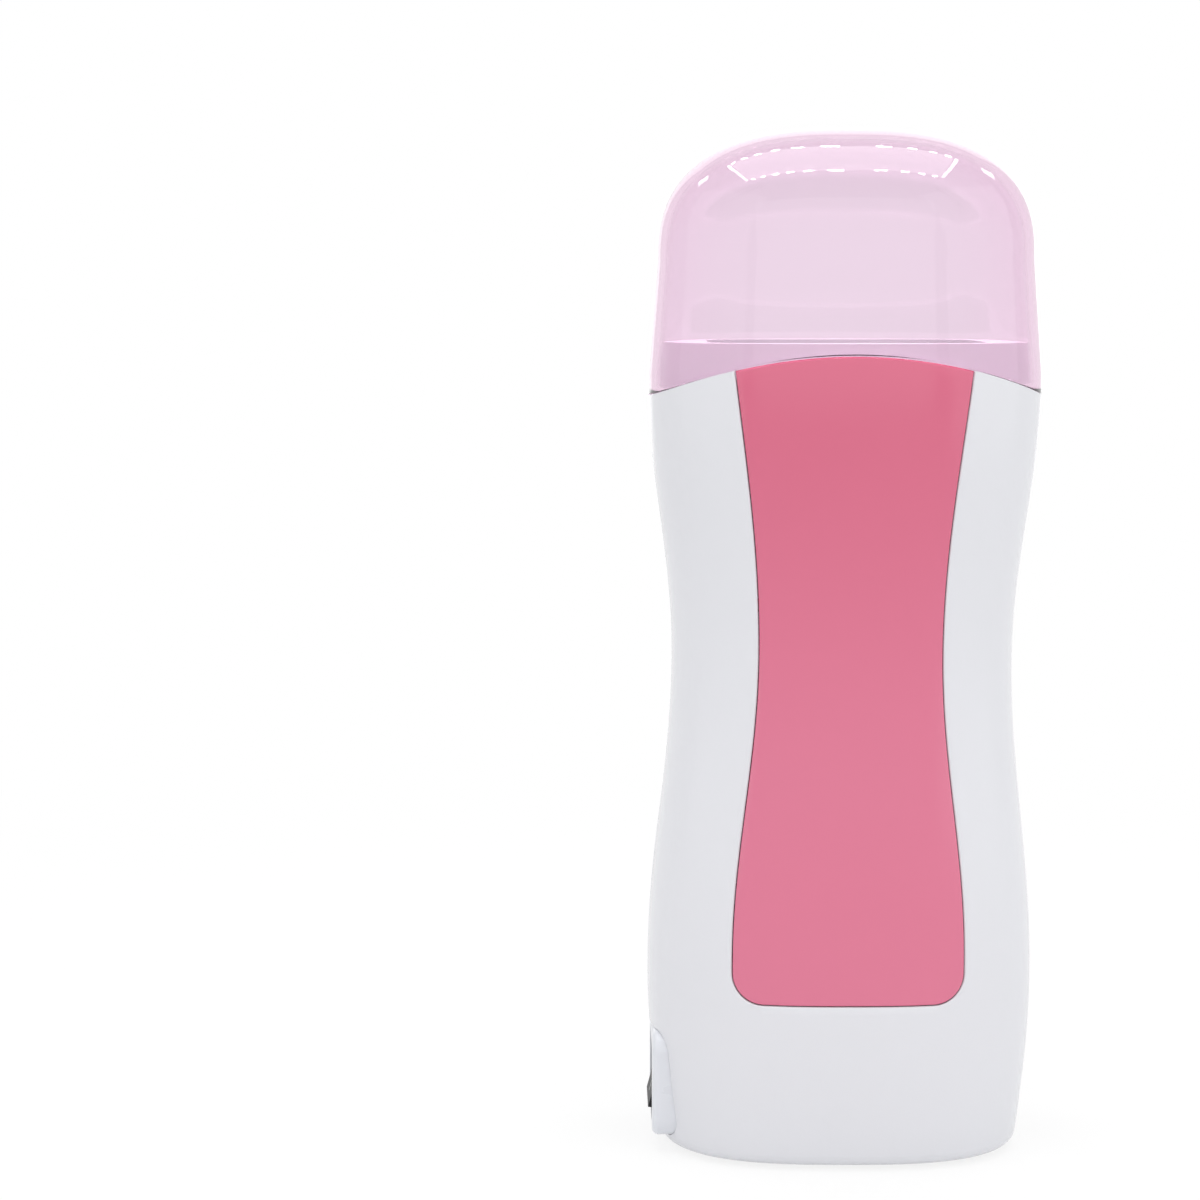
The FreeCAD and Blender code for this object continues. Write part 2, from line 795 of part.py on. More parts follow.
def make_collar():
    inset = s.wall + s.collar_gap
    outside = body_form("collar_outer_form", inset, s.collar_low_height, s.collar_top_height,
                        count=SHELF_SECTIONS)
    deck_low = s.collar_top_height - s.collar_deck
    inside = body_form("collar_inner_form", inset + s.collar_wall, s.collar_low_height - s.skim, deck_low,
                       count=SHELF_SECTIONS)
    rim = cut("collar_rim", outside, inside)
    skirt = new_body("mouth_skirt")
    hole_x = s.well_half_width + s.plate_thickness + s.plate_gap
    hole_y = s.well_half_depth + s.plate_thickness + s.plate_gap
    round_in = s.well_corner + s.plate_thickness + s.plate_gap
    sketch = new_sketch(skirt, "outline", "XY_Plane", deck_low - s.mouth_skirt_length)
    skirt_wall = s.mouth_skirt_wall
    rounded(sketch, -(hole_x + skirt_wall), hole_x + skirt_wall, -(hole_y + skirt_wall),
            hole_y + skirt_wall, round_in + skirt_wall)
    rounded(sketch, -hole_x, hole_x, -hole_y, hole_y, round_in)
    pad(skirt, sketch, s.mouth_skirt_length + s.collar_deck / 2)
    mouth = new_body("mouth_opening")
    sketch = new_sketch(mouth, "outline", "XY_Plane", deck_low - s.skim)
    mouth_x, mouth_y = s.well_half_width + s.mouth_gap, s.well_half_depth + s.mouth_gap
    rounded(sketch, -mouth_x, mouth_x, -mouth_y, mouth_y, s.well_corner + s.mouth_gap)
    pad(mouth, sketch, s.collar_deck + s.skim * 2)
    blanks = []
    for side in ("front", "rear"):
        sign = sign_of(side)
        near, far = sorted((sign * catch_root, sign * s.rim_half_depth), key=lambda length: length.value)
        for hand, x in hands(s.catch_place):
            blanks.append(block("%s_%s_catch" % (side, hand),
                                (x - s.catch_half_width, near, s.catch_height),
                                (x + s.catch_half_width, far, s.catch_height + s.catch_thickness)))
    reach = body_form("catch_form", s.inlay_thickness + s.inlay_gap + s.catch_gap, s.collar_low_height,
                      s.collar_top_height, count=SHELF_SECTIONS)
    catches = common("catches", [fuse("catch_blanks", blanks), reach])
    whole = fuse("collar_whole", [rim, skirt, catches])
    return node(cut("neck_collar", whole, mouth))


def make_well_floor():
    low, high = s.well_floor_height - s.well_floor_thickness, s.well_floor_height
    slab = body_form("well_floor_slab", s.wall + s.well_floor_gap, low, high, count=SHELF_SECTIONS)
    tools = []
    for side in ("front", "rear"):
        sign = sign_of(side)
        start = s.well_half_depth + s.plate_thickness + s.lead_slot_inset
        near, far = sorted((sign * start, sign * (start + s.lead_slot_depth)),
                           key=lambda length: length.value)
        tools.append(block(side + "_lead_slot", (-s.lead_slot_half_width, near, low - s.skim),
                           (s.lead_slot_half_width, far, high + s.skim)))
    seat = new_body("cartridge_seat")
    sketch = new_sketch(seat, "outline", "XY_Plane", high - s.seat_recess)
    rounded(sketch, -s.well_half_width, s.well_half_width, -s.well_half_depth, s.well_half_depth,
            s.well_corner)
    pad(seat, sketch, s.seat_recess + s.skim)
    return node(cut("well_floor", slab, fuse("well_floor_tools", tools + [seat])))


plate_back = s.well_half_depth + s.plate_thickness
heater_low = s.well_floor_height + s.heater_rise
heater_high = heater_low + s.heater_length
thermostat_low = heater_high + s.thermostat_rise
fuse_height = heater_high + s.fuse_rise
clip_leg_low = heater_low - s.insulator_margin - s.clip_margin
clip_leg_high = heater_high + s.insulator_margin + s.clip_margin
rivet_heights = (clip_leg_low - s.clip_thickness - s.clip_foot / 2,
                 clip_leg_high + s.clip_thickness + s.clip_foot / 2)
clip_crown = (plate_back + s.contact_gap * 3) + s.heater_thickness + s.insulator_thickness


def rivet_holes(body, name, offset, depth):
    """Two round holes for the clip's rivets, cut through a body from its outer face."""
    sketch = new_sketch(body, name, "XZ_Plane", offset)
    for height in rivet_heights:
        centre = FreeCAD.Vector(0, height.value, 0)
        circle = Part.Circle(centre, FreeCAD.Vector(0, 0, 1), (s.rivet_radius + s.rivet_gap).value)
        index = sketch.addGeometry(circle, False)
        tie(sketch, "DistanceX", (index, 3), ZERO)
        tie(sketch, "DistanceY", (index, 3), height)
        at = sketch.addConstraint(Sketcher.Constraint("Radius", index, circle.Radius))
        sketch.setExpression("Constraints[%d]" % at, (s.rivet_radius + s.rivet_gap).text)
    pocket(body, sketch, depth)


def make_heat_plates():
    body = new_body("front_heat_plate")
    sketch = new_sketch(body, "section", "XY_Plane", s.well_floor_height)
    wall = s.plate_thickness
    wide, deep = s.well_half_width, s.well_half_depth
    rounded(sketch, -(wide + wall), wide + wall, -(deep + wall), deep + wall, s.well_corner + wall)
    rounded(sketch, -wide, wide, -deep, deep, s.well_corner)
    length = s.collar_top_height - s.collar_deck - s.plate_gap - s.well_floor_height
    pad(body, sketch, length)
    half = new_sketch(body, "half", "XY_Plane", s.well_floor_height + length)
    rectangle(half, -(wide + wall + s.skim), wide + wall + s.skim, -s.plate_half_gap, deep + wall + s.skim)
    pocket(body, half, length)
    rivet_holes(body, "rivet_holes", plate_back, s.plate_thickness)
    both_sides("heat_plate", body)


def make_heaters():
    body = new_body("front_heater")
    sketch = new_sketch(body, "outline", "XZ_Plane", plate_back + s.contact_gap)
    rounded(sketch, -s.heater_half_width, s.heater_half_width, heater_low, heater_high, s.heater_edge)
    pad(body, sketch, s.heater_thickness)
    both_sides("heater", body)


def make_insulators():
    body = new_body("front_insulator")
    start = (plate_back + s.contact_gap * 2) + s.heater_thickness
    sketch = new_sketch(body, "outline", "XZ_Plane", start)
    margin = s.insulator_margin
    rounded(sketch, -s.heater_half_width, s.heater_half_width, heater_low - margin,
            heater_high + margin, s.heater_edge)
    pad(body, sketch, s.insulator_thickness)
    both_sides("insulator", body)


def make_clips():
    body = new_body("front_clip")
    sketch = new_sketch(body, "profile", "YZ_Plane", -s.clip_half_width)
    foot, crown, sheet_thick = -(plate_back + s.contact_gap), -clip_crown, s.clip_thickness
    low, high = clip_leg_low, clip_leg_high
    polygon(sketch, [
        (foot, low - sheet_thick - s.clip_foot), (foot, low), (crown, low), (crown, high), (foot, high),
        (foot, high + sheet_thick + s.clip_foot), (foot - sheet_thick, high + sheet_thick + s.clip_foot),
        (foot - sheet_thick, high + sheet_thick), (crown - sheet_thick, high + sheet_thick),
        (crown - sheet_thick, low - sheet_thick), (foot - sheet_thick, low - sheet_thick),
        (foot - sheet_thick, low - sheet_thick - s.clip_foot)])
    pad(body, sketch, s.clip_half_width * 2)
    rivet_holes(body, "rivet_holes", plate_back + s.contact_gap + sheet_thick, sheet_thick)
    both_sides("clip", body)


def make_rivets():
    made = []
    head_at = plate_back + s.contact_gap + s.clip_thickness + s.contact_gap
    for side in ("front", "rear"):
        sign = sign_of(side)
        outwards, inwards = ("-y", "y") if sign < 0 else ("y", "-y")
        for end, height in zip(("low", "high"), rivet_heights):
            name = "%s_%s_rivet" % (side, end)
            start = (ZERO, sign * head_at, height)
            head = rod(name + "_head", start, outwards, s.rivet_head_radius, s.rivet_head)
            shank = rod(name + "_shank", start, inwards, s.rivet_radius,
                        head_at - s.well_half_depth - s.contact_gap)
            made.append(fuse(name, [head, shank]))
    return node(group("clip_rivets", made))


def make_thermostat():
    body = new_body("thermostat")
    sketch = new_sketch(body, "outline", "XZ_Plane", plate_back + s.contact_gap)
    half = s.thermostat_width / 2
    rounded(sketch, s.thermostat_place - half, s.thermostat_place + half, thermostat_low,
            thermostat_low + s.thermostat_length, s.thermostat_corner)
    pad(body, sketch, s.thermostat_thickness)
    return node(body)


fuse_depth = plate_back + s.contact_gap + s.fuse_radius


def make_thermal_fuse():
    half = s.fuse_length / 2
    can = rod("fuse_can", (-half, fuse_depth, fuse_height), "x", s.fuse_radius, s.fuse_length)
    lead = rod("fuse_leads", (-(half + s.fuse_lead), fuse_depth, fuse_height), "x", s.fuse_lead_radius,
               s.fuse_length + s.fuse_lead * 2)
    return node(fuse("thermal_fuse", [can, lead]))


make_collar()
make_well_floor()
make_heat_plates()
make_heaters()
make_insulators()
make_clips()
make_rivets()
make_thermostat()
make_thermal_fuse()


# Switch: housing, case, rocker, contact blade and terminals

bezel_face = s.housing_face - s.bezel_sink
rocker_axis = bezel_face - s.rocker_axis_depth
blade_back = rocker_axis - s.rocker_nose - s.blade_thickness
case_back = bezel_face - s.case_depth


def make_switch_housing():
    body = new_body("switch_housing")
    sketch = new_sketch(body, "outline", "YZ_Plane", -s.housing_face)
    rounded(sketch, -s.housing_half_width, s.housing_half_width, s.housing_low_height,
            s.housing_high_height, s.housing_corner)
    pad(body, sketch, s.housing_face - s.housing_back)
    flange = new_sketch(body, "flange", "YZ_Plane", -s.housing_back)
    margin = s.housing_flange_margin
    rounded(flange, -(s.housing_half_width + margin), s.housing_half_width + margin,
            s.housing_low_height + s.housing_gap, s.housing_high_height + margin, s.housing_corner)
    base = pad(body, flange, s.housing_flange)
    doc.recompute()
    rim = [index for index, edge in enumerate(body.Shape.Edges, start=1)
           if edge.BoundBox.XMax < -s.housing_face.value + s.bezel_sink.value]
    soft = body.newObject("PartDesign::Fillet", "switch_housing_soft_edge")
    soft.Base = (base, ["Edge%d" % index for index in rim])
    bind(soft, "Radius", s.housing_edge)
    seat = new_sketch(body, "bezel_seat", "YZ_Plane", -s.housing_face)
    gap = s.bezel_gap
    rounded(seat, -(s.bezel_half_width + gap), s.bezel_half_width + gap,
            s.switch_height - s.bezel_half_height - gap, s.switch_height + s.bezel_half_height + gap,
            s.bezel_corner)
    pocket(body, seat, s.bezel_sink + s.bezel_thickness + gap, True)
    hole = new_sketch(body, "case_hole", "YZ_Plane", -s.housing_face)
    rounded(hole, -(s.case_half_width + gap), s.case_half_width + gap,
            s.switch_height - s.case_half_height - gap, s.switch_height + s.case_half_height + gap,
            s.case_corner)
    pocket(body, hole, s.housing_face - s.housing_back + s.housing_flange, True)
    return node(body)


def make_switch_case():
    body = new_body("switch_case_moulding")
    bezel = new_sketch(body, "bezel", "YZ_Plane", -bezel_face)
    rounded(bezel, -s.bezel_half_width, s.bezel_half_width, s.switch_height - s.bezel_half_height,
            s.switch_height + s.bezel_half_height, s.bezel_corner)
    pad(body, bezel, s.bezel_thickness)
    box = new_sketch(body, "box", "YZ_Plane", -bezel_face)
    rounded(box, -s.case_half_width, s.case_half_width, s.switch_height - s.case_half_height,
            s.switch_height + s.case_half_height, s.case_corner)
    pad(body, box, s.case_depth)
    inside = new_sketch(body, "inside", "YZ_Plane", -bezel_face)
    wide, tall = s.case_half_width - s.case_wall, s.case_half_height - s.case_wall
    rectangle(inside, -wide, wide, s.switch_height - tall, s.switch_height + tall)
    pocket(body, inside, s.case_depth - s.case_wall, True)
    bearings = rod("rocker_bearings", (-rocker_axis, -s.case_half_width - s.skim, s.switch_height), "y",
                   s.trunnion_radius + s.trunnion_gap, (s.case_half_width + s.skim) * 2)
    slots = []
    for name, offset in (("common", ZERO), ("closing", -s.closing_place)):
        half = s.terminal_thickness / 2 + s.terminal_gap
        wide = s.terminal_half_width + s.terminal_gap
        middle = s.switch_height + offset
        slots.append(block(name + "_slot", (-(case_back + s.case_wall + s.skim), -wide, middle - half),
                           (-(case_back - s.skim), wide, middle + half)))
    return node(cut("switch_case", body, fuse("switch_case_tools", [bearings] + slots)))


def tilted(body):
    """Set a body on the key's cross axis, tilted with the key."""
    turn = FreeCAD.Rotation(FreeCAD.Vector(0, 1, 0), s.rocker_tilt.value)
    body.Placement = FreeCAD.Placement(FreeCAD.Vector(), turn)
    place(body, -rocker_axis, ZERO, s.switch_height)


def make_rocker():
    body = new_body("rocker_key")
    sketch = new_sketch(body, "profile", "XZ_Plane", -s.rocker_half_width)
    face, edge = -s.rocker_face, -(s.rocker_face + s.rocker_rise)
    tall = s.rocker_half_height
    polygon(sketch, [
        (edge, -tall), (-s.rocker_skirt, -tall), (s.rocker_root, -s.rocker_root_half),
        (s.rocker_nose, -s.rocker_nose_half), (s.rocker_nose, s.rocker_nose_half),
        (s.rocker_root, s.rocker_root_half), (-s.rocker_skirt, tall), (edge, tall), (face, ZERO)])
    pad(body, sketch, s.rocker_half_width * 2)
    tilted(body)
    reach = s.case_half_width - s.case_wall + s.trunnion_reach
    trunnions = rod("rocker_trunnions", (-rocker_axis, -reach, s.switch_height), "y", s.trunnion_radius,
                    reach * 2)
    return node(fuse("switch_rocker", [body, trunnions]))


def make_blade():
    body = new_body("contact_blade")
    sketch = new_sketch(body, "profile", "XZ_Plane", -s.blade_half_width)
    rectangle(sketch, s.rocker_nose, s.rocker_nose + s.blade_thickness, -s.blade_half_height,
              s.blade_half_height)
    pad(body, sketch, s.blade_half_width * 2)
    tilted(body)
    return node(body)


terminal_end = case_back - s.terminal_tail


def make_terminals():
    made = []
    for name, offset, start in (("common", ZERO, blade_back - s.common_gap),
                                ("closing", -s.closing_place, blade_back - s.closing_gap)):
        half = s.terminal_thickness / 2
        middle = s.switch_height + offset
        made.append(block(name + "_terminal", (-start, -s.terminal_half_width, middle - half),
                          (-terminal_end, s.terminal_half_width, middle + half)))
    return node(group("switch_terminals", made))


make_switch_housing()
make_switch_case()
make_rocker()
make_blade()
make_terminals()


# Mains inlet

inlet_back = s.inlet_face - s.inlet_length
pin_end = inlet_back - s.pin_tail


def make_inlet():
    body = new_body("inlet_moulding")
    sketch = new_sketch(body, "outline", "YZ_Plane", inlet_back)
    rounded(sketch, -s.inlet_half_width, s.inlet_half_width, s.inlet_height - s.inlet_half_height,
            s.inlet_height + s.inlet_half_height, s.inlet_corner)
    pad(body, sketch, s.inlet_length)
    flange = new_sketch(body, "flange", "YZ_Plane", s.inlet_face - s.inlet_flange_depth - s.inlet_flange)
    margin = s.inlet_flange_margin
    rounded(flange, -(s.inlet_half_width + margin), s.inlet_half_width + margin,
            s.inlet_height - s.inlet_half_height - margin, s.inlet_height + s.inlet_half_height + margin,
            s.inlet_corner)
    pad(body, flange, s.inlet_flange)
    socket = new_sketch(body, "socket", "YZ_Plane", s.inlet_face)
    rounded(socket, -s.socket_half_width, s.socket_half_width, s.inlet_height - s.socket_half_height,
            s.inlet_height + s.socket_half_height, s.socket_corner)
    pocket(body, socket, s.socket_depth)
    holes = []
    for hand, y in (("front", -s.pin_half_spacing), ("rear", s.pin_half_spacing)):
        holes.append(rod(hand + "_pin_hole", (inlet_back - s.skim, y, s.inlet_height), "x",
                         s.pin_tail_radius, s.inlet_length))
    return node(cut("inlet_body", body, fuse("inlet_pin_holes", holes)))


def make_pins():
    made = []
    shoulder = s.inlet_face - s.socket_depth
    for hand, y in (("front", -s.pin_half_spacing), ("rear", s.pin_half_spacing)):
        free = rod(hand + "_pin_end", (shoulder, y, s.inlet_height), "x", s.pin_radius,
                   s.socket_depth - s.pin_sink)
        tail = rod(hand + "_pin_tail", (pin_end, y, s.inlet_height), "x", s.pin_tail_radius,
                   shoulder - pin_end)
        made.append(fuse(hand + "_pin", [free, tail]))
    return node(group("inlet_pins", made))


make_inlet()
make_pins()


# Base cover, feet and screws


def corners(x, y):
    return [(side, hand, sx * x, sy * y) for side, sy in (("front", -1), ("rear", 1))
            for hand, sx in (("left", -1), ("right", 1))]


def make_base_cover():
    slab = plate_prism("base_cover_slab", s.cover_inset + s.cover_gap, s.foot_stand, cavity_low)
    tools = []
    for side, hand, x, y in corners(s.base_screw_x, s.base_screw_y):
        name = "%s_%s_cover" % (side, hand)
        low = (x, y, s.foot_stand - s.skim)
        tools.append(rod(name + "_hole", low, "z", s.screw_radius + s.screw_gap, s.base_floor + s.skim * 2))
        tools.append(rod(name + "_sink", low, "z", s.screw_head_radius + s.screw_head_gap,
                         s.skim + s.screw_head_sink + s.screw_head))
    for side, hand, x, y in corners(s.foot_x, s.foot_y):
        tools.append(rod("%s_%s_foot_seat" % (side, hand), (x, y, s.foot_stand - s.skim), "z",
                         s.foot_radius + s.foot_gap, s.skim + s.foot_sink))
    return node(cut("base_cover", slab, fuse("base_cover_tools", tools)))


def screw(name, head, along, length):
    """A cross-head screw from the outer face of its head."""
    x, y, z = head
    step = {"z": (ZERO, ZERO, s.screw_head), "y": (ZERO, s.screw_head, ZERO),
            "-y": (ZERO, -s.screw_head, ZERO)}[along]
    neck = tuple(start + move for start, move in zip(head, step))
    whole = fuse(name + "_blank", [rod(name + "_head", head, along, s.screw_head_radius, s.screw_head),
                                   rod(name + "_shank", neck, along, s.screw_radius, length)])
    long, narrow, deep = s.screw_slot_half, s.screw_slot_width / 2, s.screw_slot_depth
    slots = []
    for turn, (wide, tall) in (("a", (long, narrow)), ("b", (narrow, long))):
        if along == "z":
            low, high = (x - wide, y - tall, z - deep), (x + wide, y + tall, z + deep)
        else:
            low, high = (x - wide, y - deep, z - tall), (x + wide, y + deep, z + tall)
        slots.append(block("%s_slot_%s" % (name, turn), low, high))
    return cut(name, whole, fuse(name + "_cross", slots))


def make_screws():
    made = []
    for side, hand, x, y in corners(s.base_screw_x, s.base_screw_y):
        head = (x, y, s.foot_stand + s.screw_head_sink)
        made.append(screw("%s_%s_base_screw" % (side, hand), head, "z", s.base_screw_length - s.screw_head))
    node(group("base_screws", made))
    made = []
    for side in ("front", "rear"):
        sign = sign_of(side)
        head = (sign * s.shell_screw_x, sign * (s.shell_screw_seat + s.screw_head), shell_screw_height)
        made.append(screw(side + "_shell_screw", head, "y" if sign < 0 else "-y", s.shell_screw_length))
    node(group("shell_screws", made))


def make_feet():
    made = [rod("%s_%s_foot" % (side, hand), (x, y, ZERO), "z", s.foot_radius, s.foot_stand + s.foot_sink)
            for side, hand, x, y in corners(s.foot_x, s.foot_y)]
    return node(group("rubber_feet", made))


make_base_cover()
make_screws()
make_feet()


# Leads inside the housing: straight runs joined by arcs


def lead(name, points):
    """A round lead through points, each corner rounded by the bend radius or as its runs allow."""
    spots = [FreeCAD.Vector(*(length.value for length in point)) for point in points]
    edges = []
    start = spots[0]
    for before, spot, after in zip(spots, spots[1:], spots[2:]):
        back, ahead = (before - spot), (after - spot)
        turn = math.pi - back.getAngle(ahead)
        room = min(back.Length, ahead.Length) * LEAD_ROOM_SHARE
        trim = min(s.lead_bend.value * math.tan(turn / 2), room)
        radius = trim / math.tan(turn / 2)
        back.normalize()
        ahead.normalize()
        centre_way = back + ahead
        centre_way.normalize()
        centre = spot + centre_way * math.hypot(trim, radius)
        first, last = spot + back * trim, spot + ahead * trim
        edges.append(Part.LineSegment(start, first).toShape())
        edges.append(Part.Arc(first, centre - centre_way * radius, last).toShape())
        start = last
    edges.append(Part.LineSegment(start, spots[-1]).toShape())
    path = Part.Wire(edges)
    heading = spots[1] - spots[0]
    section = Part.Wire(Part.makeCircle(s.lead_radius.value, spots[0], heading))
    tube = path.makePipeShell([section], True, True)
    due = math.pi * s.lead_radius.value ** 2 * path.Length
    if abs(tube.Volume - due) > due * LEAD_VOLUME_SHARE:
        raise RuntimeError(name + " is not a clean tube")
    return node(formed(name, tube))


switch_lead_start = terminal_end - s.crimp_length
pin_lead_start = pin_end - s.crimp_length
lane_front, lane_rear = -s.lead_lane_depth, s.lead_lane_depth
closing_height = s.switch_height - s.closing_place
link_height = s.well_floor_height - s.link_drop
riser_low = s.well_floor_height - s.riser_drop
riser_high = s.well_floor_height + s.riser_rise
lane_low = s.well_floor_height + s.lane_rise
heater_middle = plate_back + s.contact_gap + s.heater_thickness / 2


def make_leads():
    # Inlet to the switch
    lead("live_lead", [
        (pin_lead_start, -s.pin_half_spacing, s.inlet_height),
        (pin_lead_start - s.lead_bend * 2, -s.pin_half_spacing, s.inlet_height),
        (-(switch_lead_start - s.lead_bend), ZERO, s.switch_height),
        (-switch_lead_start, ZERO, s.switch_height)])
    # Switch to the thermostat, past the front heater
    thermostat_depth = -(plate_back + s.contact_gap + s.thermostat_thickness / 2)
    thermostat_foot = s.thermostat_place - s.thermostat_width * THERMOSTAT_FOOT_SHARE
    lead("switched_lead", [
        (-switch_lead_start, ZERO, closing_height),
        (-(switch_lead_start - s.lead_bend), ZERO, closing_height),
        (-s.riser_place, lane_front / 2, s.switch_height),
        (-s.riser_place, lane_front, riser_low),
        (-s.riser_place, lane_front, riser_high),
        (-s.lead_lane, lane_front, lane_low),
        (-s.lead_lane, lane_front, heater_high),
        (thermostat_foot, thermostat_depth, thermostat_low - s.lead_bend),
        (thermostat_foot, thermostat_depth, thermostat_low)])
    # Front heater to rear heater, under the well floor
    lead("heater_link", [
        (s.link_place, -heater_middle, heater_low),
        (s.link_place, -heater_middle, link_height),
        (-s.link_place, heater_middle, link_height),
        (-s.link_place, heater_middle, heater_low)])
    # Thermal fuse back to the inlet
    fuse_end = s.fuse_length / 2 + s.fuse_lead
    lead("neutral_lead", [
        (fuse_end, fuse_depth, fuse_height),
        (s.lead_lane, fuse_depth, fuse_height),
        (s.lead_lane, lane_rear, heater_high),
        (s.lead_lane, lane_rear, lane_low),
        (s.riser_place, lane_rear, riser_high),
        (s.riser_place, lane_rear, riser_low),
        (pin_lead_start - s.lead_bend * 2, s.pin_half_spacing, s.inlet_height),
        (pin_lead_start, s.pin_half_spacing, s.inlet_height)])
    # Thermostat down to the front heater, and rear heater up to the thermal fuse
    lead("front_heater_lead", [
        (s.thermostat_place, -heater_middle, heater_high),
        (s.thermostat_place, -heater_middle, thermostat_low)])
    lead("rear_heater_lead", [
        (-fuse_end, fuse_depth, fuse_height),
        (-s.link_place - s.lead_bend, fuse_depth, fuse_height),
        (-s.link_place, heater_middle, heater_high + s.lead_bend * 2),
        (-s.link_place, heater_middle, heater_high)])


def make_crimps():
    made = []
    wide, tall = s.crimp_half_width, s.crimp_half_height
    for name, start, end, y, z in (
            ("common_crimp", -terminal_end, -switch_lead_start, ZERO, s.switch_height),
            ("closing_crimp", -terminal_end, -switch_lead_start, ZERO, closing_height),
            ("front_pin_crimp", pin_lead_start, pin_end, -s.pin_half_spacing, s.inlet_height),
            ("rear_pin_crimp", pin_lead_start, pin_end, s.pin_half_spacing, s.inlet_height)):
        made.append(block(name, (start, y - wide, z - tall), (end, y + wide, z + tall)))
    return node(group("lead_crimps", made))


make_leads()
make_crimps()

doc.recompute()
for thing in doc.Objects:
    if "Invalid" in thing.State or "Error" in thing.State:
        raise RuntimeError("failed: " + thing.Name)
for thing in nodes:
    if thing.Shape.isNull() or not thing.Shape.isValid():
        raise RuntimeError("bad shape: " + thing.Label)

os.makedirs("parts", exist_ok=True)
for thing in nodes:
    thing.Shape.exportStep("parts/%s.step" % thing.Label)
    print(thing.Label, len(thing.Shape.Solids), round(thing.Shape.Volume, 1))
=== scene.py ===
import math

import bmesh
import bpy
from mathutils import Matrix, Vector


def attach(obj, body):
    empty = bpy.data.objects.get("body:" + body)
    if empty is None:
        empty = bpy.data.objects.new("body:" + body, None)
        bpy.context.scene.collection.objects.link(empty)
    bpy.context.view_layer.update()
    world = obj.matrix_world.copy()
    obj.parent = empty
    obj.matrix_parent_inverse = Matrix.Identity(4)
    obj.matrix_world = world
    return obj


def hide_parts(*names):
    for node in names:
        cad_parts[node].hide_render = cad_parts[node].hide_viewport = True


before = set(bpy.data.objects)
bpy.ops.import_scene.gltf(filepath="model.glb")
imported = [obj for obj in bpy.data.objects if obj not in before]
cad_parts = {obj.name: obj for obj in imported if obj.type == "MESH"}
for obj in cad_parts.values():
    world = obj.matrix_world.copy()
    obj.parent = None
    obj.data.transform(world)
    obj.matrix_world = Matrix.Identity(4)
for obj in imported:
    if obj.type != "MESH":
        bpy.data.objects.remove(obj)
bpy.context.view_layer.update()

MM = 0.001

# Sizes of the closed heater in millimetres, as in the construction
HALF_WIDTHS = {"base": 36.0, "belly": 38.75, "waist": 34.05, "rim": 39.0, "shoulder": 37.3}
HALF_DEPTHS = {"base": 26.2, "belly": 28.3, "waist": 26.0, "rim": 28.5, "shoulder": 27.0}
HEIGHTS = {"belly": 35.0, "waist": 100.0, "rim": 156.0, "shoulder": 178.0}
CAP_HEIGHT = 204.0
PLAN_POWER = 2.7
DOME_POWER = 2.6
FOOT_STAND = 0.7
BASE_ROUND = 2.5
COVER_INSET = 4.0
ARCH_TOP = 159.9
ARCH_RADIUS = 96.8
CAP_WALL = 1.8
SHELL_WALL = 2.2
SEAM_HALF = 0.06
PANEL_WAIST, PANEL_WAIST_HEIGHT = 17.9, 103.0
PANEL_FOOT, PANEL_FOOT_HEIGHT = 22.8, 42.0
PANEL_FLARE, PANEL_FLARE_HEIGHT = 25.5, 193.0
PANEL_BOTTOM, PANEL_CORNER = 33.8, 6.0
INLAY_THICKNESS = 1.2
WINDOW_LOW, WINDOW_HIGH, WINDOW_REACH = 41.0, 144.0, 7.5
SWITCH_HEIGHT = 12.2
ROCKER_AXIS = 35.2
ROCKER_TILT = 7.5
# Passes to find a height on the arch, which depends on the width there
ARCH_PASSES, CORNER_PASSES = 12, 20
# Points nearer than the first are welded, edges shorter than the second go
WELD, SLIVER = 0.02, 0.001


# Form of the housing and cap

def swing(low, high, share):
    return low + (high - low) * (1 - math.cos(math.pi * share)) / 2


def half_size(level, sizes):
    """Half the width or depth of the closed heater at a height."""
    if level <= HEIGHTS["belly"]:
        rise = math.sin(math.pi / 2 * max(level, 0) / HEIGHTS["belly"])
        return sizes["base"] + (sizes["belly"] - sizes["base"]) * rise
    for low, high in (("belly", "waist"), ("waist", "rim")):
        if level <= HEIGHTS[high]:
            share = (level - HEIGHTS[low]) / (HEIGHTS[high] - HEIGHTS[low])
            return swing(sizes[low], sizes[high], share)
    share = (level - HEIGHTS["rim"]) / (HEIGHTS["shoulder"] - HEIGHTS["rim"])
    return sizes["rim"] + (sizes["shoulder"] - sizes["rim"]) * share


def halves(level, inset=0.0):
    """Half width and half depth of the housing's skin, with its round foot."""
    foot = FOOT_STAND + BASE_ROUND - level
    if foot > 0:
        inset += BASE_ROUND - math.sqrt(max(BASE_ROUND ** 2 - foot ** 2, 0))
    return half_size(level, HALF_WIDTHS) - inset, half_size(level, HALF_DEPTHS) - inset


def on_plan(wide, deep, turn):
    """A point of the plan outline in a direction; -90 degrees is the front."""
    across, along = math.cos(turn), math.sin(turn)
    reach = (abs(across) ** PLAN_POWER + abs(along) ** PLAN_POWER) ** (-1 / PLAN_POWER)
    return wide * across * reach, deep * along * reach


def skin_point(level, turn, inset=0.0):
    x, y = on_plan(*halves(level, inset), turn)
    return Vector((x, y, level))


def turn_at_x(level, x):
    """Direction of the skin's point in front at a distance from the middle."""
    wide, _ = halves(level)
    share = min(abs(x) / wide, 1)
    return math.atan2(-(1 - share ** PLAN_POWER) ** (1 / PLAN_POWER), x / wide)


def turn_at_depth(level, depth):
    """Direction of the skin's point on the right, at a distance in front of the seam."""
    _, deep = halves(level)
    share = min(depth / deep, 1)
    return math.atan2(-share, (1 - share ** PLAN_POWER) ** (1 / PLAN_POWER))


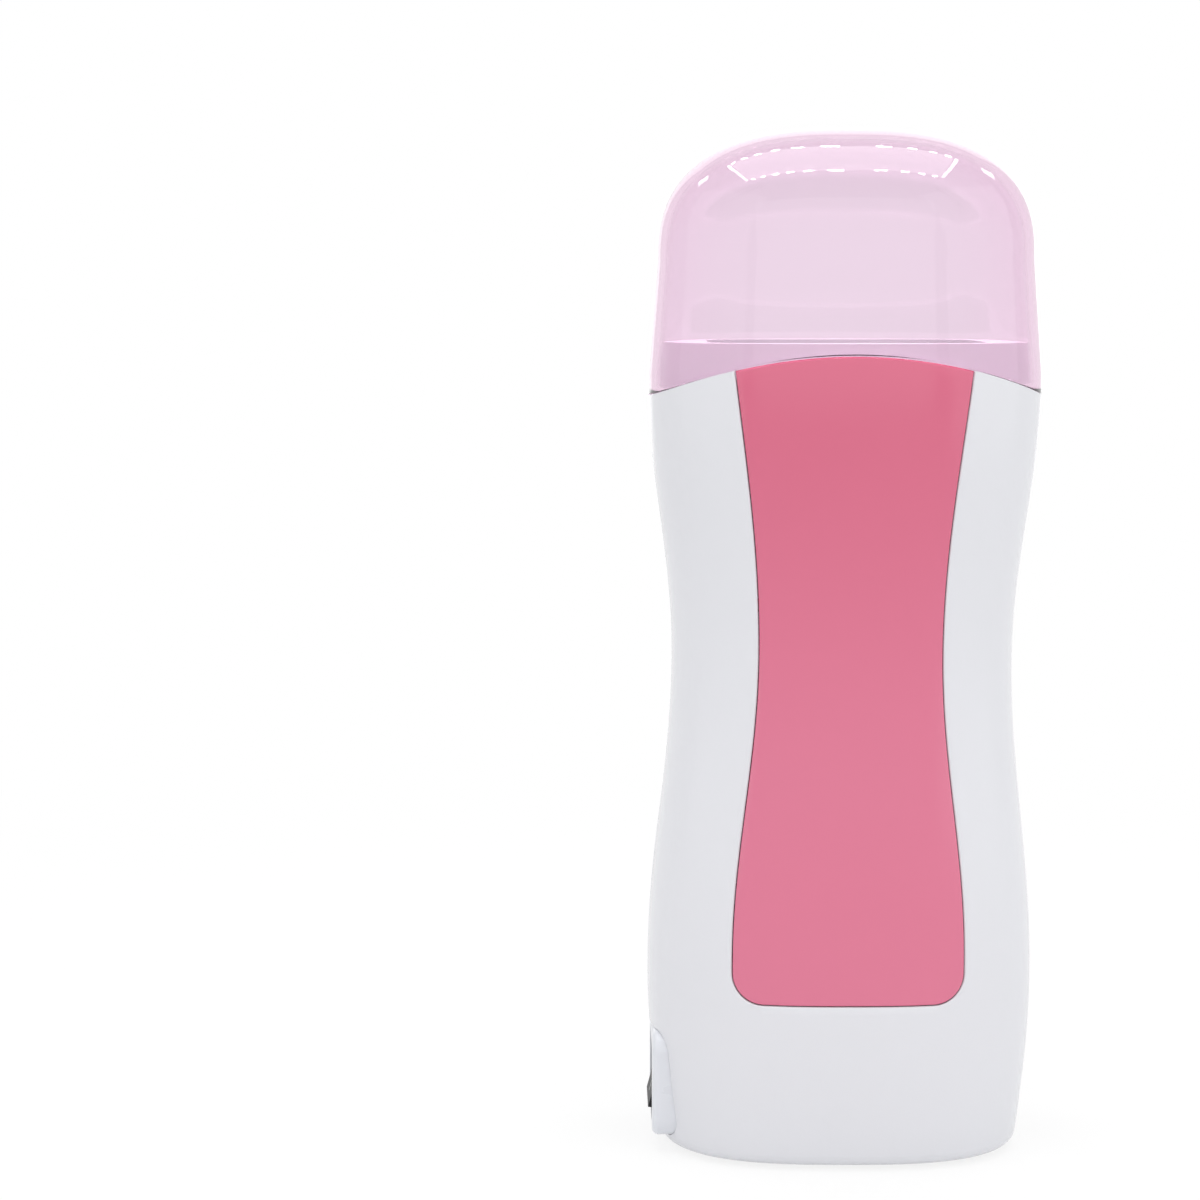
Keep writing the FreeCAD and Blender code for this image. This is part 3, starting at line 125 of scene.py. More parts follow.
def arch(x, top=ARCH_TOP, radius=ARCH_RADIUS):
    return top - radius + math.sqrt(max(radius ** 2 - x ** 2, 0))


def panel_half(level):
    if level >= PANEL_WAIST_HEIGHT:
        share = (level - PANEL_WAIST_HEIGHT) / (PANEL_FLARE_HEIGHT - PANEL_WAIST_HEIGHT)
        return swing(PANEL_WAIST, PANEL_FLARE, share)
    share = (PANEL_WAIST_HEIGHT - level) / (PANEL_WAIST_HEIGHT - PANEL_FOOT_HEIGHT)
    return swing(PANEL_WAIST, PANEL_FOOT, min(share, 1))


# Half the straight run of the panel's bottom edge, between its round corners
PANEL_FLAT = panel_half(PANEL_BOTTOM + PANEL_CORNER) - PANEL_CORNER


def panel_top(x, drop=0.0):
    """Height of the panel's top edge, on the ledge's arch or a little below it."""
    return arch(x, ARCH_TOP - drop, ARCH_RADIUS - drop)


def panel_top_corner(margin, drop=0.0):
    """Width and height at which the panel's side meets its arched top."""
    level = ARCH_TOP
    for _ in range(CORNER_PASSES):
        level = panel_top(panel_half(level) + margin, drop)
    return panel_half(level) + margin, level


def window_bow(level):
    """How far the window reaches in front of the seam at a height."""
    half = (WINDOW_HIGH - WINDOW_LOW) / 2
    radius = (half ** 2 + WINDOW_REACH ** 2) / (2 * WINDOW_REACH)
    off = level - (WINDOW_LOW + WINDOW_HIGH) / 2
    return WINDOW_REACH - radius + math.sqrt(max(radius ** 2 - off ** 2, 0))


# Mesh helpers

def patch(points):
    """Vertices and faces of a grid of points, given as rows."""
    columns = len(points[0])
    spots = [point for row in points for point in row]
    faces = []
    for i in range(len(points) - 1):
        for j in range(columns - 1):
            at = i * columns + j
            faces.append((at, at + 1, at + columns + 1, at + columns))
    return spots, faces


def mesh_from(name, patches, turn=0.0):
    """One welded mesh from patches in millimetres."""
    form = bmesh.new()
    for spots, faces in patches:
        made = [form.verts.new(spot * MM) for spot in spots]
        for face in faces:
            form.faces.new([made[i] for i in face])
    bmesh.ops.remove_doubles(form, verts=form.verts, dist=WELD * MM)
    bmesh.ops.dissolve_degenerate(form, edges=form.edges, dist=SLIVER * MM)
    bmesh.ops.recalc_face_normals(form, faces=form.faces)
    if turn:
        half_round = Matrix.Rotation(turn, 3, "Z")
        bmesh.ops.rotate(form, verts=form.verts, cent=(0, 0, 0), matrix=half_round)
    mesh = bpy.data.meshes.new(name)
    form.to_mesh(mesh)
    form.free()
    return mesh


def add_piece(name, mesh, material):
    piece = bpy.data.objects.new(name, mesh)
    bpy.context.scene.collection.objects.link(piece)
    mesh.materials.clear()
    mesh.materials.append(material)
    return piece


def settle(piece):
    """Turn a piece with its modifiers into a plain mesh."""
    graph = bpy.context.evaluated_depsgraph_get()
    mesh = bpy.data.meshes.new_from_object(piece.evaluated_get(graph))
    piece.modifiers.clear()
    old = piece.data
    piece.data = mesh
    mesh.name = piece.name
    bpy.data.meshes.remove(old)


def discard(thing):
    mesh = thing.data
    bpy.data.objects.remove(thing)
    bpy.data.meshes.remove(mesh)


def shade(piece, degrees=35):
    """Smooth shading with edges kept sharp past an angle."""
    piece.data.shade_smooth()
    piece.data.set_sharp_from_angle(angle=math.radians(degrees))


def thicken(piece, depth):
    wall = piece.modifiers.new("wall", "SOLIDIFY")
    wall.thickness = depth * MM
    wall.offset = -1
    wall.use_even_offset = True
    settle(piece)


# Materials

# Ends of the noise's useful range
DRIFT_ENDS = (0.3, 0.7)


def new_material(name):
    material = bpy.data.materials.new(name)
    material.use_nodes = True
    nodes, links = material.node_tree.nodes, material.node_tree.links
    return material, nodes, links, nodes["Principled BSDF"]


def scaled_noise(nodes, links, scale, detail=3.0):
    place = nodes.new("ShaderNodeTexCoord")
    noise = nodes.new("ShaderNodeTexNoise")
    noise.inputs["Scale"].default_value = scale
    noise.inputs["Detail"].default_value = detail
    links.new(place.outputs["Object"], noise.inputs["Vector"])
    return noise


def vary_colour(nodes, links, shader, colour, spread, scale):
    """Slow drift of a colour either side of its mean."""
    noise = scaled_noise(nodes, links, scale)
    ramp = nodes.new("ShaderNodeValToRGB")
    for i, factor in enumerate((1 - spread, 1 + spread)):
        element = ramp.color_ramp.elements[i]
        element.color = (*(min(part * factor, 1) for part in colour), 1)
        element.position = DRIFT_ENDS[i]
    links.new(noise.outputs["Fac"], ramp.inputs["Fac"])
    links.new(ramp.outputs["Color"], shader.inputs["Base Color"])


def vary_roughness(nodes, links, shader, low, high, scale):
    noise = scaled_noise(nodes, links, scale, 5.0)
    span = nodes.new("ShaderNodeMapRange")
    span.inputs["To Min"].default_value = low
    span.inputs["To Max"].default_value = high
    links.new(noise.outputs["Fac"], span.inputs["Value"])
    links.new(span.outputs["Result"], shader.inputs["Roughness"])


def add_grain(nodes, links, shader, scale, depth, strength=1.0):
    noise = scaled_noise(nodes, links, scale, 2.0)
    bump = nodes.new("ShaderNodeBump")
    bump.inputs["Distance"].default_value = depth
    bump.inputs["Strength"].default_value = strength
    links.new(noise.outputs["Fac"], bump.inputs["Height"])
    links.new(bump.outputs["Normal"], shader.inputs["Normal"])


def moulded(name, colour, roughness, spread=0.015, grain=900.0, depth=0.000012, **sockets):
    """Moulded plastic: slight flow marks, fine grain and uneven gloss."""
    material, nodes, links, shader = new_material(name)
    vary_colour(nodes, links, shader, colour, spread, scale=18.0)
    vary_roughness(nodes, links, shader, low=roughness * 0.85, high=roughness * 1.15, scale=60.0)
    add_grain(nodes, links, shader, grain, depth)
    for socket, value in sockets.items():
        shader.inputs[socket.replace("_", " ")].default_value = value
    return material


def paint_shade_upwards(material, low, high, low_colour, high_colour):
    """Painted shade: colour that grows darker and deeper from one height to another, over the flow
    marks.
    """
    nodes, links = material.node_tree.nodes, material.node_tree.links
    place = nodes.new("ShaderNodeTexCoord")
    parts = nodes.new("ShaderNodeSeparateXYZ")
    span = nodes.new("ShaderNodeMapRange")
    span.interpolation_type = "SMOOTHSTEP"
    span.inputs["From Min"].default_value = low * MM
    span.inputs["From Max"].default_value = high * MM
    tint = nodes.new("ShaderNodeMix")
    tint.data_type = "RGBA"
    tint.inputs["A"].default_value = (*low_colour, 1)
    tint.inputs["B"].default_value = (*high_colour, 1)
    whole = nodes.new("ShaderNodeMix")
    whole.data_type = "RGBA"
    whole.blend_type = "MULTIPLY"
    whole.inputs["Factor"].default_value = 1.0
    shader = nodes["Principled BSDF"]
    flow = shader.inputs["Base Color"].links[0].from_socket
    links.new(place.outputs["Object"], parts.inputs["Vector"])
    links.new(parts.outputs["Z"], span.inputs["Value"])
    links.new(span.outputs["Result"], tint.inputs["Factor"])
    links.new(flow, whole.inputs["A"])
    links.new(tint.outputs["Result"], whole.inputs["B"])
    links.new(whole.outputs["Result"], shader.inputs["Base Color"])


def metal(name, colour, roughness, stretch=(4.0, 4.0, 1.0), grain=700.0):
    """Rolled or drawn metal with fine lines along one way."""
    material, nodes, links, shader = new_material(name)
    shader.inputs["Metallic"].default_value = 1.0
    vary_colour(nodes, links, shader, colour, spread=0.06, scale=90.0)
    vary_roughness(nodes, links, shader, low=roughness * 0.75, high=roughness * 1.25, scale=220.0)
    place = nodes.new("ShaderNodeTexCoord")
    stretched = nodes.new("ShaderNodeMapping")
    stretched.inputs["Scale"].default_value = stretch
    noise = nodes.new("ShaderNodeTexNoise")
    noise.inputs["Scale"].default_value = grain
    bump = nodes.new("ShaderNodeBump")
    bump.inputs["Distance"].default_value = 0.00001
    links.new(place.outputs["Object"], stretched.inputs["Vector"])
    links.new(stretched.outputs["Vector"], noise.inputs["Vector"])
    links.new(noise.outputs["Fac"], bump.inputs["Height"])
    links.new(bump.outputs["Normal"], shader.inputs["Normal"])
    return material


def clear_plastic(name, colour, roughness, depth_colour, density):
    """Clear plastic with faint moulding ripple, deeper in colour along a longer way."""
    material, nodes, links, shader = new_material(name)
    vary_colour(nodes, links, shader, colour, spread=0.006, scale=12.0)
    vary_roughness(nodes, links, shader, low=roughness * 0.8, high=roughness * 1.2, scale=40.0)
    add_grain(nodes, links, shader, scale=35.0, depth=0.00002, strength=0.4)
    shader.inputs["Transmission Weight"].default_value = 1.0
    shader.inputs["IOR"].default_value = 1.46
    # Light from the lamps passes straight through, tinted by the wall
    path = nodes.new("ShaderNodeLightPath")
    passed = nodes.new("ShaderNodeBsdfTransparent")
    passed.inputs["Color"].default_value = (*(math.sqrt(part) for part in colour), 1)
    mix = nodes.new("ShaderNodeMixShader")
    links.new(path.outputs["Is Shadow Ray"], mix.inputs[0])
    links.new(shader.outputs[0], mix.inputs[1])
    links.new(passed.outputs[0], mix.inputs[2])
    depth = nodes.new("ShaderNodeVolumeAbsorption")
    depth.inputs["Color"].default_value = (*depth_colour, 1)
    depth.inputs["Density"].default_value = density
    output = nodes["Material Output"]
    links.new(mix.outputs[0], output.inputs["Surface"])
    links.new(depth.outputs[0], output.inputs["Volume"])
    return material


white_plastic = moulded("white_plastic", (0.72, 0.725, 0.76), 0.24, 0.006)
boss_plastic = moulded("boss_plastic", (0.72, 0.735, 0.78), 0.28, 0.006)
pink_plastic = moulded("pink_plastic", (0.69, 0.176, 0.28), 0.16, 0.012, 500.0, 0.000006)
# Painted shade: the pink panels grow darker towards their top, where less light falls on them
paint_shade_upwards(pink_plastic, 70.0, 165.0, (1.0, 1.0, 1.0), (0.94, 0.72, 0.78))
cap_plastic = clear_plastic("cap_plastic", (0.934, 0.915, 0.941), 0.03, (0.82, 0.25, 0.62), 92.0)
# Painted highlight: the rim's rounded edge and underside are opaque light pink, which shows as a
# bright line along the foot of the clear cap
cap_rim = moulded("cap_rim", (0.96, 0.86, 0.92), 0.5)
window_plastic = clear_plastic("window_plastic", (0.16, 0.15, 0.165), 0.08, (0.5, 0.5, 0.5), 50.0)
collar_plastic = moulded("collar_plastic", (0.84, 0.825, 0.85), 0.40)
black_plastic = moulded("black_plastic", (0.022, 0.022, 0.024), 0.36, 0.05, 1400.0, 0.00002)
rocker_plastic = moulded("rocker_plastic", (0.024, 0.024, 0.026), 0.5, 0.05, 1400.0, 0.00001,
                         Specular_IOR_Level=0.3)
mark_paint = moulded("mark_paint", (0.80, 0.80, 0.78), 0.5)
plate_metal = metal("plate_metal", (0.91, 0.91, 0.92), 0.55)
steel = metal("steel", (0.60, 0.60, 0.61), 0.30)
brass = metal("brass", (0.78, 0.60, 0.27), 0.28)
heater_ceramic = moulded("heater_ceramic", (0.74, 0.71, 0.65), 0.75, 0.06, 1600.0, 0.00003)
mica_sheet = moulded("mica_sheet", (0.62, 0.52, 0.34), 0.5, 0.18, 700.0, 0.00002)
foot_rubber = moulded("foot_rubber", (0.035, 0.035, 0.036), 0.75, 0.08, 1800.0, 0.00004)
lead_sleeve = moulded("lead_sleeve", (0.46, 0.05, 0.04), 0.5, 0.08, 2600.0, 0.00003)

# Solids of the construction that show as they are
FINISHES = (
    (collar_plastic, ("neck_collar",)),
    (white_plastic, ("well_floor", "base_cover")),
    (boss_plastic, ("switch_housing",)),
    (black_plastic, ("thermostat", "switch_case", "inlet_body")),
    (rocker_plastic, ("switch_rocker",)),
    (plate_metal, ("front_heat_plate", "rear_heat_plate")),
    (heater_ceramic, ("front_heater", "rear_heater")),
    (mica_sheet, ("front_insulator", "rear_insulator")),
    (steel, ("front_clip", "rear_clip", "clip_rivets", "thermal_fuse", "base_screws", "shell_screws",
             "lead_crimps")),
    (brass, ("contact_blade", "switch_terminals", "inlet_pins")),
    (lead_sleeve, ("live_lead", "switched_lead", "heater_link", "neutral_lead", "front_heater_lead",
                   "rear_heater_lead")),
)
for material, nodes_with_it in FINISHES:
    for name in nodes_with_it:
        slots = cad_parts[name].data.materials
        slots.clear()
        slots.append(material)


# Housing skin

# Margin from the inlaid piece and depth below the skin, from the flat of an edge to its bottom
SOFT_EDGE = ((0.34, 0.0), (0.22, 0.05), (0.14, 0.16), (0.12, 0.34))
STRIP_COLUMNS = 44
APRON_COLUMNS, APRON_ROWS = 40, 18
PANEL_COLUMNS, PANEL_ROWS = 44, 62
CORNER_STEPS = 12
ROUND_STEPS = 8
PRISM_STEPS = 32
# Rows of the mesh start to follow the arch at this height
BLEND_FROM = 120.0
SEAT_MARGIN = 0.4
SEAT_INSET = INLAY_THICKNESS + 0.12
# Half width, bottom, top and corner, then the two ends along X
SWITCH_OPENING = (15.92, 3.08, 24.72, 4.12, -60.0, -27.5)
INLET_OPENING = (9.72, 6.58, 18.42, 5.52, 19.2, 60.0)


def panel_rows(margin, drop=0.0):
    """Points (half width, height) up one side of the panel's outline."""
    start = PANEL_BOTTOM + PANEL_CORNER
    corner = PANEL_CORNER + margin
    rows = []
    for i in range(CORNER_STEPS + 1):
        turn = math.radians(90 * i / CORNER_STEPS)
        rows.append((PANEL_FLAT + corner * math.sin(turn), start - corner * math.cos(turn)))
    end_x, end = panel_top_corner(margin, drop)
    for i in range(1, PANEL_ROWS):
        level = start + (end - start) * i / PANEL_ROWS
        rows.append((panel_half(level) + margin, level))
    rows.append((end_x, end))
    return rows


def panel_face(margin, drop=0.0, inset=0.0):
    """Sheet with the panel's outline, grown by a margin, at a depth below the skin."""
    side = panel_rows(margin, drop)
    last_x, last = side[-1]
    rows = []
    for x, level in side:
        lift = max(level - BLEND_FROM, 0) / (last - BLEND_FROM)
        row = []
        for i in range(PANEL_COLUMNS + 1):
            share = 2 * i / PANEL_COLUMNS - 1
            height = level + lift * (panel_top(last_x * share, drop) - last)
            row.append(skin_point(height, turn_at_x(height, x * share), inset))
        rows.append(row)
    return patch(rows)


def side_edge(margin, inset, drop=0.0):
    """Points up one side of the panel's outline, at a depth below the skin."""
    return [skin_point(level, turn_at_x(level, x), inset) for x, level in panel_rows(margin, drop)]


def foot_levels():
    """Heights from the foot of the skin to the panel's bottom edge."""
    levels = []
    for i in range(ROUND_STEPS + 1):
        lean = math.radians(90 * i / ROUND_STEPS)
        levels.append(FOOT_STAND + BASE_ROUND * (1 - math.cos(lean)))
    low, high = levels[-1], PANEL_BOTTOM - SOFT_EDGE[0][0]
    levels.extend(low + (high - low) * i / APRON_ROWS for i in range(1, APRON_ROWS))
    return levels


def underside(foot):
    """Row of points on the flat below, from the foot of the skin in to the base cover."""
    row = []
    for point in foot:
        share = 1 - (COVER_INSET - BASE_ROUND) / math.hypot(point.x, point.y)
        row.append(Vector((point.x * share, point.y * share, FOOT_STAND)))
    return row


def strip(with_window):
    """Skin from the seam on the right to the panel's side and the line below it."""
    margin = SOFT_EDGE[0][0]
    edge = [(PANEL_FLAT, level) for level in foot_levels()] + panel_rows(margin)
    last = edge[-1][1]

    def side_turn(level, extra):
        bow = max(SEAM_HALF, window_bow(level)) if with_window else SEAM_HALF
        return turn_at_depth(level, bow + extra)

    def column_top(share):
        level = last
        for _ in range(ARCH_PASSES):
            begin, end = side_turn(level, margin), turn_at_x(level, edge[-1][0])
            level = arch(skin_point(level, begin + (end - begin) * share).x)
        return level

    rows = [[] for _ in edge]
    tops = [column_top(i / STRIP_COLUMNS) for i in range(STRIP_COLUMNS)]
    for row, (x, level) in zip(rows, edge):
        lift = max(level - BLEND_FROM, 0) / (last - BLEND_FROM)
        height = level + lift * (tops[0] - last)
        for extra, inset in reversed(SOFT_EDGE[1:]):
            row.append(skin_point(height, side_turn(height, extra), inset))
        for i in range(STRIP_COLUMNS):
            height = level + lift * (tops[i] - last)
            begin, end = side_turn(height, margin), turn_at_x(height, x)
            row.append(skin_point(height, begin + (end - begin) * i / STRIP_COLUMNS))
        row.append(skin_point(level, turn_at_x(level, x)))
    rows.insert(0, underside(rows[0]))
    lip = [side_edge(extra, inset) for extra, inset in SOFT_EDGE]
    return [patch(rows), patch([list(row) for row in zip(*lip)])]


def apron():
    """Skin below the panel, and the rounded edge under it."""
    levels = [(level, 0.0) for level in foot_levels()]
    levels += [(PANEL_BOTTOM - extra, inset) for extra, inset in SOFT_EDGE]
    rows = []
    for level, inset in levels:
        end = turn_at_x(level, PANEL_FLAT)
        begin = -math.pi - end
        row = []
        for i in range(APRON_COLUMNS + 1):
            row.append(skin_point(level, begin + (end - begin) * i / APRON_COLUMNS, inset))
        rows.append(row)
    return patch([underside(rows[0])] + rows)


def mirrored(made):
    spots, faces = made
    return [Vector((-p.x, p.y, p.z)) for p in spots], [tuple(reversed(face)) for face in faces]


def rounded_prism(name, half_y, low, high, corner, x_from, x_to):
    """Cutter along X with a rounded outline."""
    middle, half_z = (low + high) / 2, (high - low) / 2
    outline = []
    for i in range(PRISM_STEPS):
        turn = 2 * math.pi * (i + 0.5) / PRISM_STEPS
        y = math.copysign(half_y - corner, math.cos(turn)) + corner * math.cos(turn)
        z = math.copysign(half_z - corner, math.sin(turn)) + corner * math.sin(turn)
        outline.append((y, middle + z))
    form = bmesh.new()
    ends = [[form.verts.new((x * MM, y * MM, z * MM)) for y, z in outline] for x in (x_from, x_to)]
    for end in ends:
        form.faces.new(end)
    for i in range(len(outline)):
        j = (i + 1) % len(outline)
        form.faces.new((ends[0][i], ends[0][j], ends[1][j], ends[1][i]))
    bmesh.ops.recalc_face_normals(form, faces=form.faces)
    mesh = bpy.data.meshes.new(name)
    form.to_mesh(mesh)
    form.free()
    cutter = bpy.data.objects.new(name, mesh)
    bpy.context.scene.collection.objects.link(cutter)
    return cutter


def notch(piece, cutters):
    for cutter in cutters:
        opening = piece.modifiers.new("opening", "BOOLEAN")
        opening.operation = "DIFFERENCE"
        opening.solver = "EXACT"
        opening.object = cutter
    settle(piece)


def add_seat(piece, turn):
    """Thin wall of the housing behind the panel, joined to its half."""
    face = panel_face(SEAT_MARGIN, inset=SEAT_INSET)
    seat = add_piece("panel_seat", mesh_from("panel_seat", [face], turn), white_plastic)
    thicken(seat, SHELL_WALL - SEAT_INSET)
    form = bmesh.new()
    for mesh in (piece.data, seat.data):
        form.from_mesh(mesh)
    form.to_mesh(piece.data)
    form.free()
    discard(seat)


def make_shells():
    left = [mirrored(part) for part in strip(False)]
    patches = strip(True) + left + [apron()]
    cutters = [rounded_prism("switch_opening", *SWITCH_OPENING),
               rounded_prism("inlet_opening", *INLET_OPENING)]
    for side, turn in (("front", 0.0), ("rear", math.pi)):
        piece = add_piece(side + "_half", mesh_from(side + "_half", patches, turn), white_plastic)
        thicken(piece, SHELL_WALL)
        notch(piece, cutters)
        add_seat(piece, turn)
        shade(piece)
        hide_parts(side + "_shell")
        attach(piece, "housing")
    for cutter in cutters:
        discard(cutter)


# Panels and windows

# Margin from the panel's outline and depth below the skin, round its edge
PANEL_EDGE = ((-0.55, 0.0), (-0.30, 0.05), (-0.12, 0.17), (-0.02, 0.36), (0.0, 0.6))
WINDOW_ROWS, WINDOW_COLUMNS = 70, 12
# Window cut short at its points, its play in the opening, and its depth below the skin
WINDOW_TRIM, WINDOW_PLAY, WINDOW_SINK = 1.6, 0.14, 0.12


def panel_patches():
    margin = PANEL_EDGE[0][0]
    right = [side_edge(extra, inset, -extra) for extra, inset in PANEL_EDGE]
    right = patch([list(row) for row in zip(*right)])
    foot, top = [], []
    for extra, inset in PANEL_EDGE:
        wide, _ = panel_top_corner(extra, -extra)
        foot.append([])
        top.append([])
        for i in range(PANEL_COLUMNS + 1):
            share = 2 * i / PANEL_COLUMNS - 1
            level = PANEL_BOTTOM - extra
            foot[-1].append(skin_point(level, turn_at_x(level, PANEL_FLAT * share), inset))
            level = panel_top(wide * share, -extra)
            top[-1].append(skin_point(level, turn_at_x(level, wide * share), inset))
    return [panel_face(margin, -margin), right, mirrored(right), patch(foot), patch(top)]


def window_patches():
    """Smoked window on the right of the front half."""
    rows = []
    low, high = WINDOW_LOW + WINDOW_TRIM, WINDOW_HIGH - WINDOW_TRIM
    for i in range(WINDOW_ROWS + 1):
        level = low + (high - low) * i / WINDOW_ROWS
        near, far = SEAM_HALF, window_bow(level) - WINDOW_PLAY
        row = []
        for j in range(WINDOW_COLUMNS + 1):
            depth = near + (far - near) * j / WINDOW_COLUMNS
            row.append(skin_point(level, turn_at_depth(level, depth), WINDOW_SINK))
        rows.append(row)
    return [patch(rows)]


def make_inlays():
    for side, turn in (("front", 0.0), ("rear", math.pi)):
        cover = mesh_from(side + "_cover", panel_patches(), turn)
        panel = add_piece(side + "_cover", cover, pink_plastic)
        thicken(panel, INLAY_THICKNESS - PANEL_EDGE[-1][1])
        shade(panel, 50)
        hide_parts(side + "_panel")
        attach(panel, "housing")
        smoked = mesh_from(side + "_pane", window_patches(), turn)
        pane = add_piece(side + "_pane", smoked, window_plastic)
        thicken(pane, INLAY_THICKNESS)
        shade(pane)
        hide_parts(side + "_window")
        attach(pane, "housing")


# Cap

CAP_COLUMNS, WALL_ROWS, DOME_ROWS = 180, 24, 40
# The rim comes nearer to the ledge than the solid, which keeps room to move, and rises inwards
RIM_GAP, RIM_LEAN = 0.08, 0.15
# Depth in the wall and height above the rim, round the rim's edge
CAP_EDGE = ((0.0, 0.22), (0.04, 0.08), (0.15, 0.0))


def cap_rows(inset, rises):
    """Rings of the cap's wall from its arched rim to near the top."""
    rows = []

    def wall_point(turn, level):
        wide = half_size(level, HALF_WIDTHS) - inset
        deep = half_size(level, HALF_DEPTHS) - inset
        x, y = on_plan(wide, deep, turn)
        return Vector((x, y, level))

    turns = [2 * math.pi * i / CAP_COLUMNS for i in range(CAP_COLUMNS)]
    rims = []
    for turn in turns:
        level = ARCH_TOP
        for _ in range(ARCH_PASSES):
            level = arch(skin_point(level, turn).x, ARCH_TOP + RIM_GAP, ARCH_RADIUS + RIM_GAP)
        rims.append(level + RIM_LEAN * inset)
    shoulder = HEIGHTS["shoulder"]
    for i in range(WALL_ROWS):
        share = i / WALL_ROWS
        rows.append([wall_point(turn, rim + rises + (shoulder - rim - rises) * share)
                     for turn, rim in zip(turns, rims)])
    wide = HALF_WIDTHS["shoulder"] - inset
    deep = HALF_DEPTHS["shoulder"] - inset
    tall = CAP_HEIGHT - inset - shoulder
    for i in range(DOME_ROWS):
        lean = math.radians(90 * i / DOME_ROWS)
        narrow = math.cos(lean) ** (2 / DOME_POWER)
        rise = math.sin(lean) ** (2 / DOME_POWER)
        rows.append([Vector((*on_plan(wide * narrow, deep * narrow, turn), shoulder + tall * rise))
                     for turn in turns])
    return rows, Vector((0, 0, CAP_HEIGHT - inset))


def make_cap():
    _, edge_rise = CAP_EDGE[0]
    outer, outer_top = cap_rows(0.0, edge_rise)
    inner, inner_top = cap_rows(CAP_WALL, edge_rise)
    rims = [cap_rows(inset, rise)[0][0] for inset, rise in CAP_EDGE[1:]]
    inside = [cap_rows(CAP_WALL - inset, rise)[0][0] for inset, rise in reversed(CAP_EDGE[1:])]
    rows = list(reversed(outer)) + rims + inside + inner
    form = bmesh.new()
    made = [[form.verts.new(p * MM) for p in row] for row in rows]
    # Rows round the rim's edge and under it take the light pink satin, a painted highlight
    under = range(len(outer) - 1, len(outer) + len(rims) + len(inside))
    for step, (upper, lower) in enumerate(zip(made, made[1:])):
        for i in range(CAP_COLUMNS):
            j = (i + 1) % CAP_COLUMNS
            face = form.faces.new((upper[i], lower[i], lower[j], upper[j]))
            face.material_index = int(step in under)
    for ring, top in ((made[0], outer_top), (made[-1], inner_top)):
        pole = form.verts.new(top * MM)
        for i in range(CAP_COLUMNS):
            form.faces.new((ring[i], ring[(i + 1) % CAP_COLUMNS], pole))
    bmesh.ops.recalc_face_normals(form, faces=form.faces)
    mesh = bpy.data.meshes.new("clear_cap")
    form.to_mesh(mesh)
    form.free()
    piece = add_piece("clear_cap", mesh, cap_plastic)
    mesh.materials.append(cap_rim)
    shade(piece, 60)
    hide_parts("cap")
    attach(piece, "cap")


# Feet and the marks on the switch key

FOOT_X, FOOT_Y, FOOT_RADIUS, FOOT_HEIGHT, FOOT_ROUND = 24.0, 12.5, 3.6, 1.7, 0.5
PAD_STEPS, PAD_COLUMNS = 6, 40


def foot_profile():
    """Outline of a foot from its middle below to its middle above: (radius, height)."""
    spots = [(0.0, 0.0)]
    for i in range(PAD_STEPS + 1):
        lean = math.radians(90 * i / PAD_STEPS)
        radius = FOOT_RADIUS - FOOT_ROUND * (1 - math.sin(lean))
        spots.append((radius, FOOT_ROUND * (1 - math.cos(lean))))
    return spots + [(FOOT_RADIUS, FOOT_HEIGHT), (0.0, FOOT_HEIGHT)]


def foot_mesh():
    columns = []
    for i in range(PAD_COLUMNS + 1):
        turn = 2 * math.pi * i / PAD_COLUMNS
        columns.append([Vector((radius * math.cos(turn), radius * math.sin(turn), height))
                        for radius, height in foot_profile()])
    return mesh_from("foot_pads", [patch(columns)])


def corner_tree():
    """Geometry nodes: one copy of the piece at each corner of a rectangle."""
    tree = bpy.data.node_groups.new("corner_copies", "GeometryNodeTree")
    sockets = (("Geometry", "NodeSocketGeometry"), ("Spacing X", "NodeSocketFloat"),
               ("Spacing Y", "NodeSocketFloat"), ("Material", "NodeSocketMaterial"))
    for name, kind in sockets:
        tree.interface.new_socket(name, in_out="INPUT", socket_type=kind)
    tree.interface.new_socket("Geometry", in_out="OUTPUT", socket_type="NodeSocketGeometry")
    given = tree.nodes.new("NodeGroupInput")
    grid = tree.nodes.new("GeometryNodeMeshGrid")
    grid.inputs["Vertices X"].default_value = 2
    grid.inputs["Vertices Y"].default_value = 2
    copies = tree.nodes.new("GeometryNodeInstanceOnPoints")
    real = tree.nodes.new("GeometryNodeRealizeInstances")
    paint = tree.nodes.new("GeometryNodeSetMaterial")
    result = tree.nodes.new("NodeGroupOutput")
    tree.links.new(given.outputs["Spacing X"], grid.inputs["Size X"])
    tree.links.new(given.outputs["Spacing Y"], grid.inputs["Size Y"])
    tree.links.new(grid.outputs["Mesh"], copies.inputs["Points"])
    tree.links.new(given.outputs["Geometry"], copies.inputs["Instance"])
    tree.links.new(copies.outputs["Instances"], real.inputs["Geometry"])
    tree.links.new(real.outputs["Geometry"], paint.inputs["Geometry"])
    tree.links.new(given.outputs["Material"], paint.inputs["Material"])
    tree.links.new(paint.outputs["Geometry"], result.inputs["Geometry"])
    return tree


def make_feet():
    piece = add_piece("foot_pads", foot_mesh(), foot_rubber)
    tree = corner_tree()
    copies = piece.modifiers.new("corners", "NODES")
    copies.node_group = tree
    values = {"Spacing X": FOOT_X * 2 * MM, "Spacing Y": FOOT_Y * 2 * MM, "Material": foot_rubber}
    for socket in tree.interface.items_tree:
        if socket.in_out == "INPUT" and socket.name in values:
            copies[socket.identifier] = values[socket.name]
    settle(piece)
    shade(piece)
    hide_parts("rubber_feet")
    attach(piece, "housing")


KEY_FACE, KEY_RISE, KEY_HALF = 2.15, 0.71, 5.4
MARK_AT, MARK_LIFT, MARK_DEPTH = 0.52, 0.03, 0.02
RING_RADII, RING_STEPS = (0.95, 1.3), 40
BAR_WIDE, BAR_LONG = 0.19, 1.2


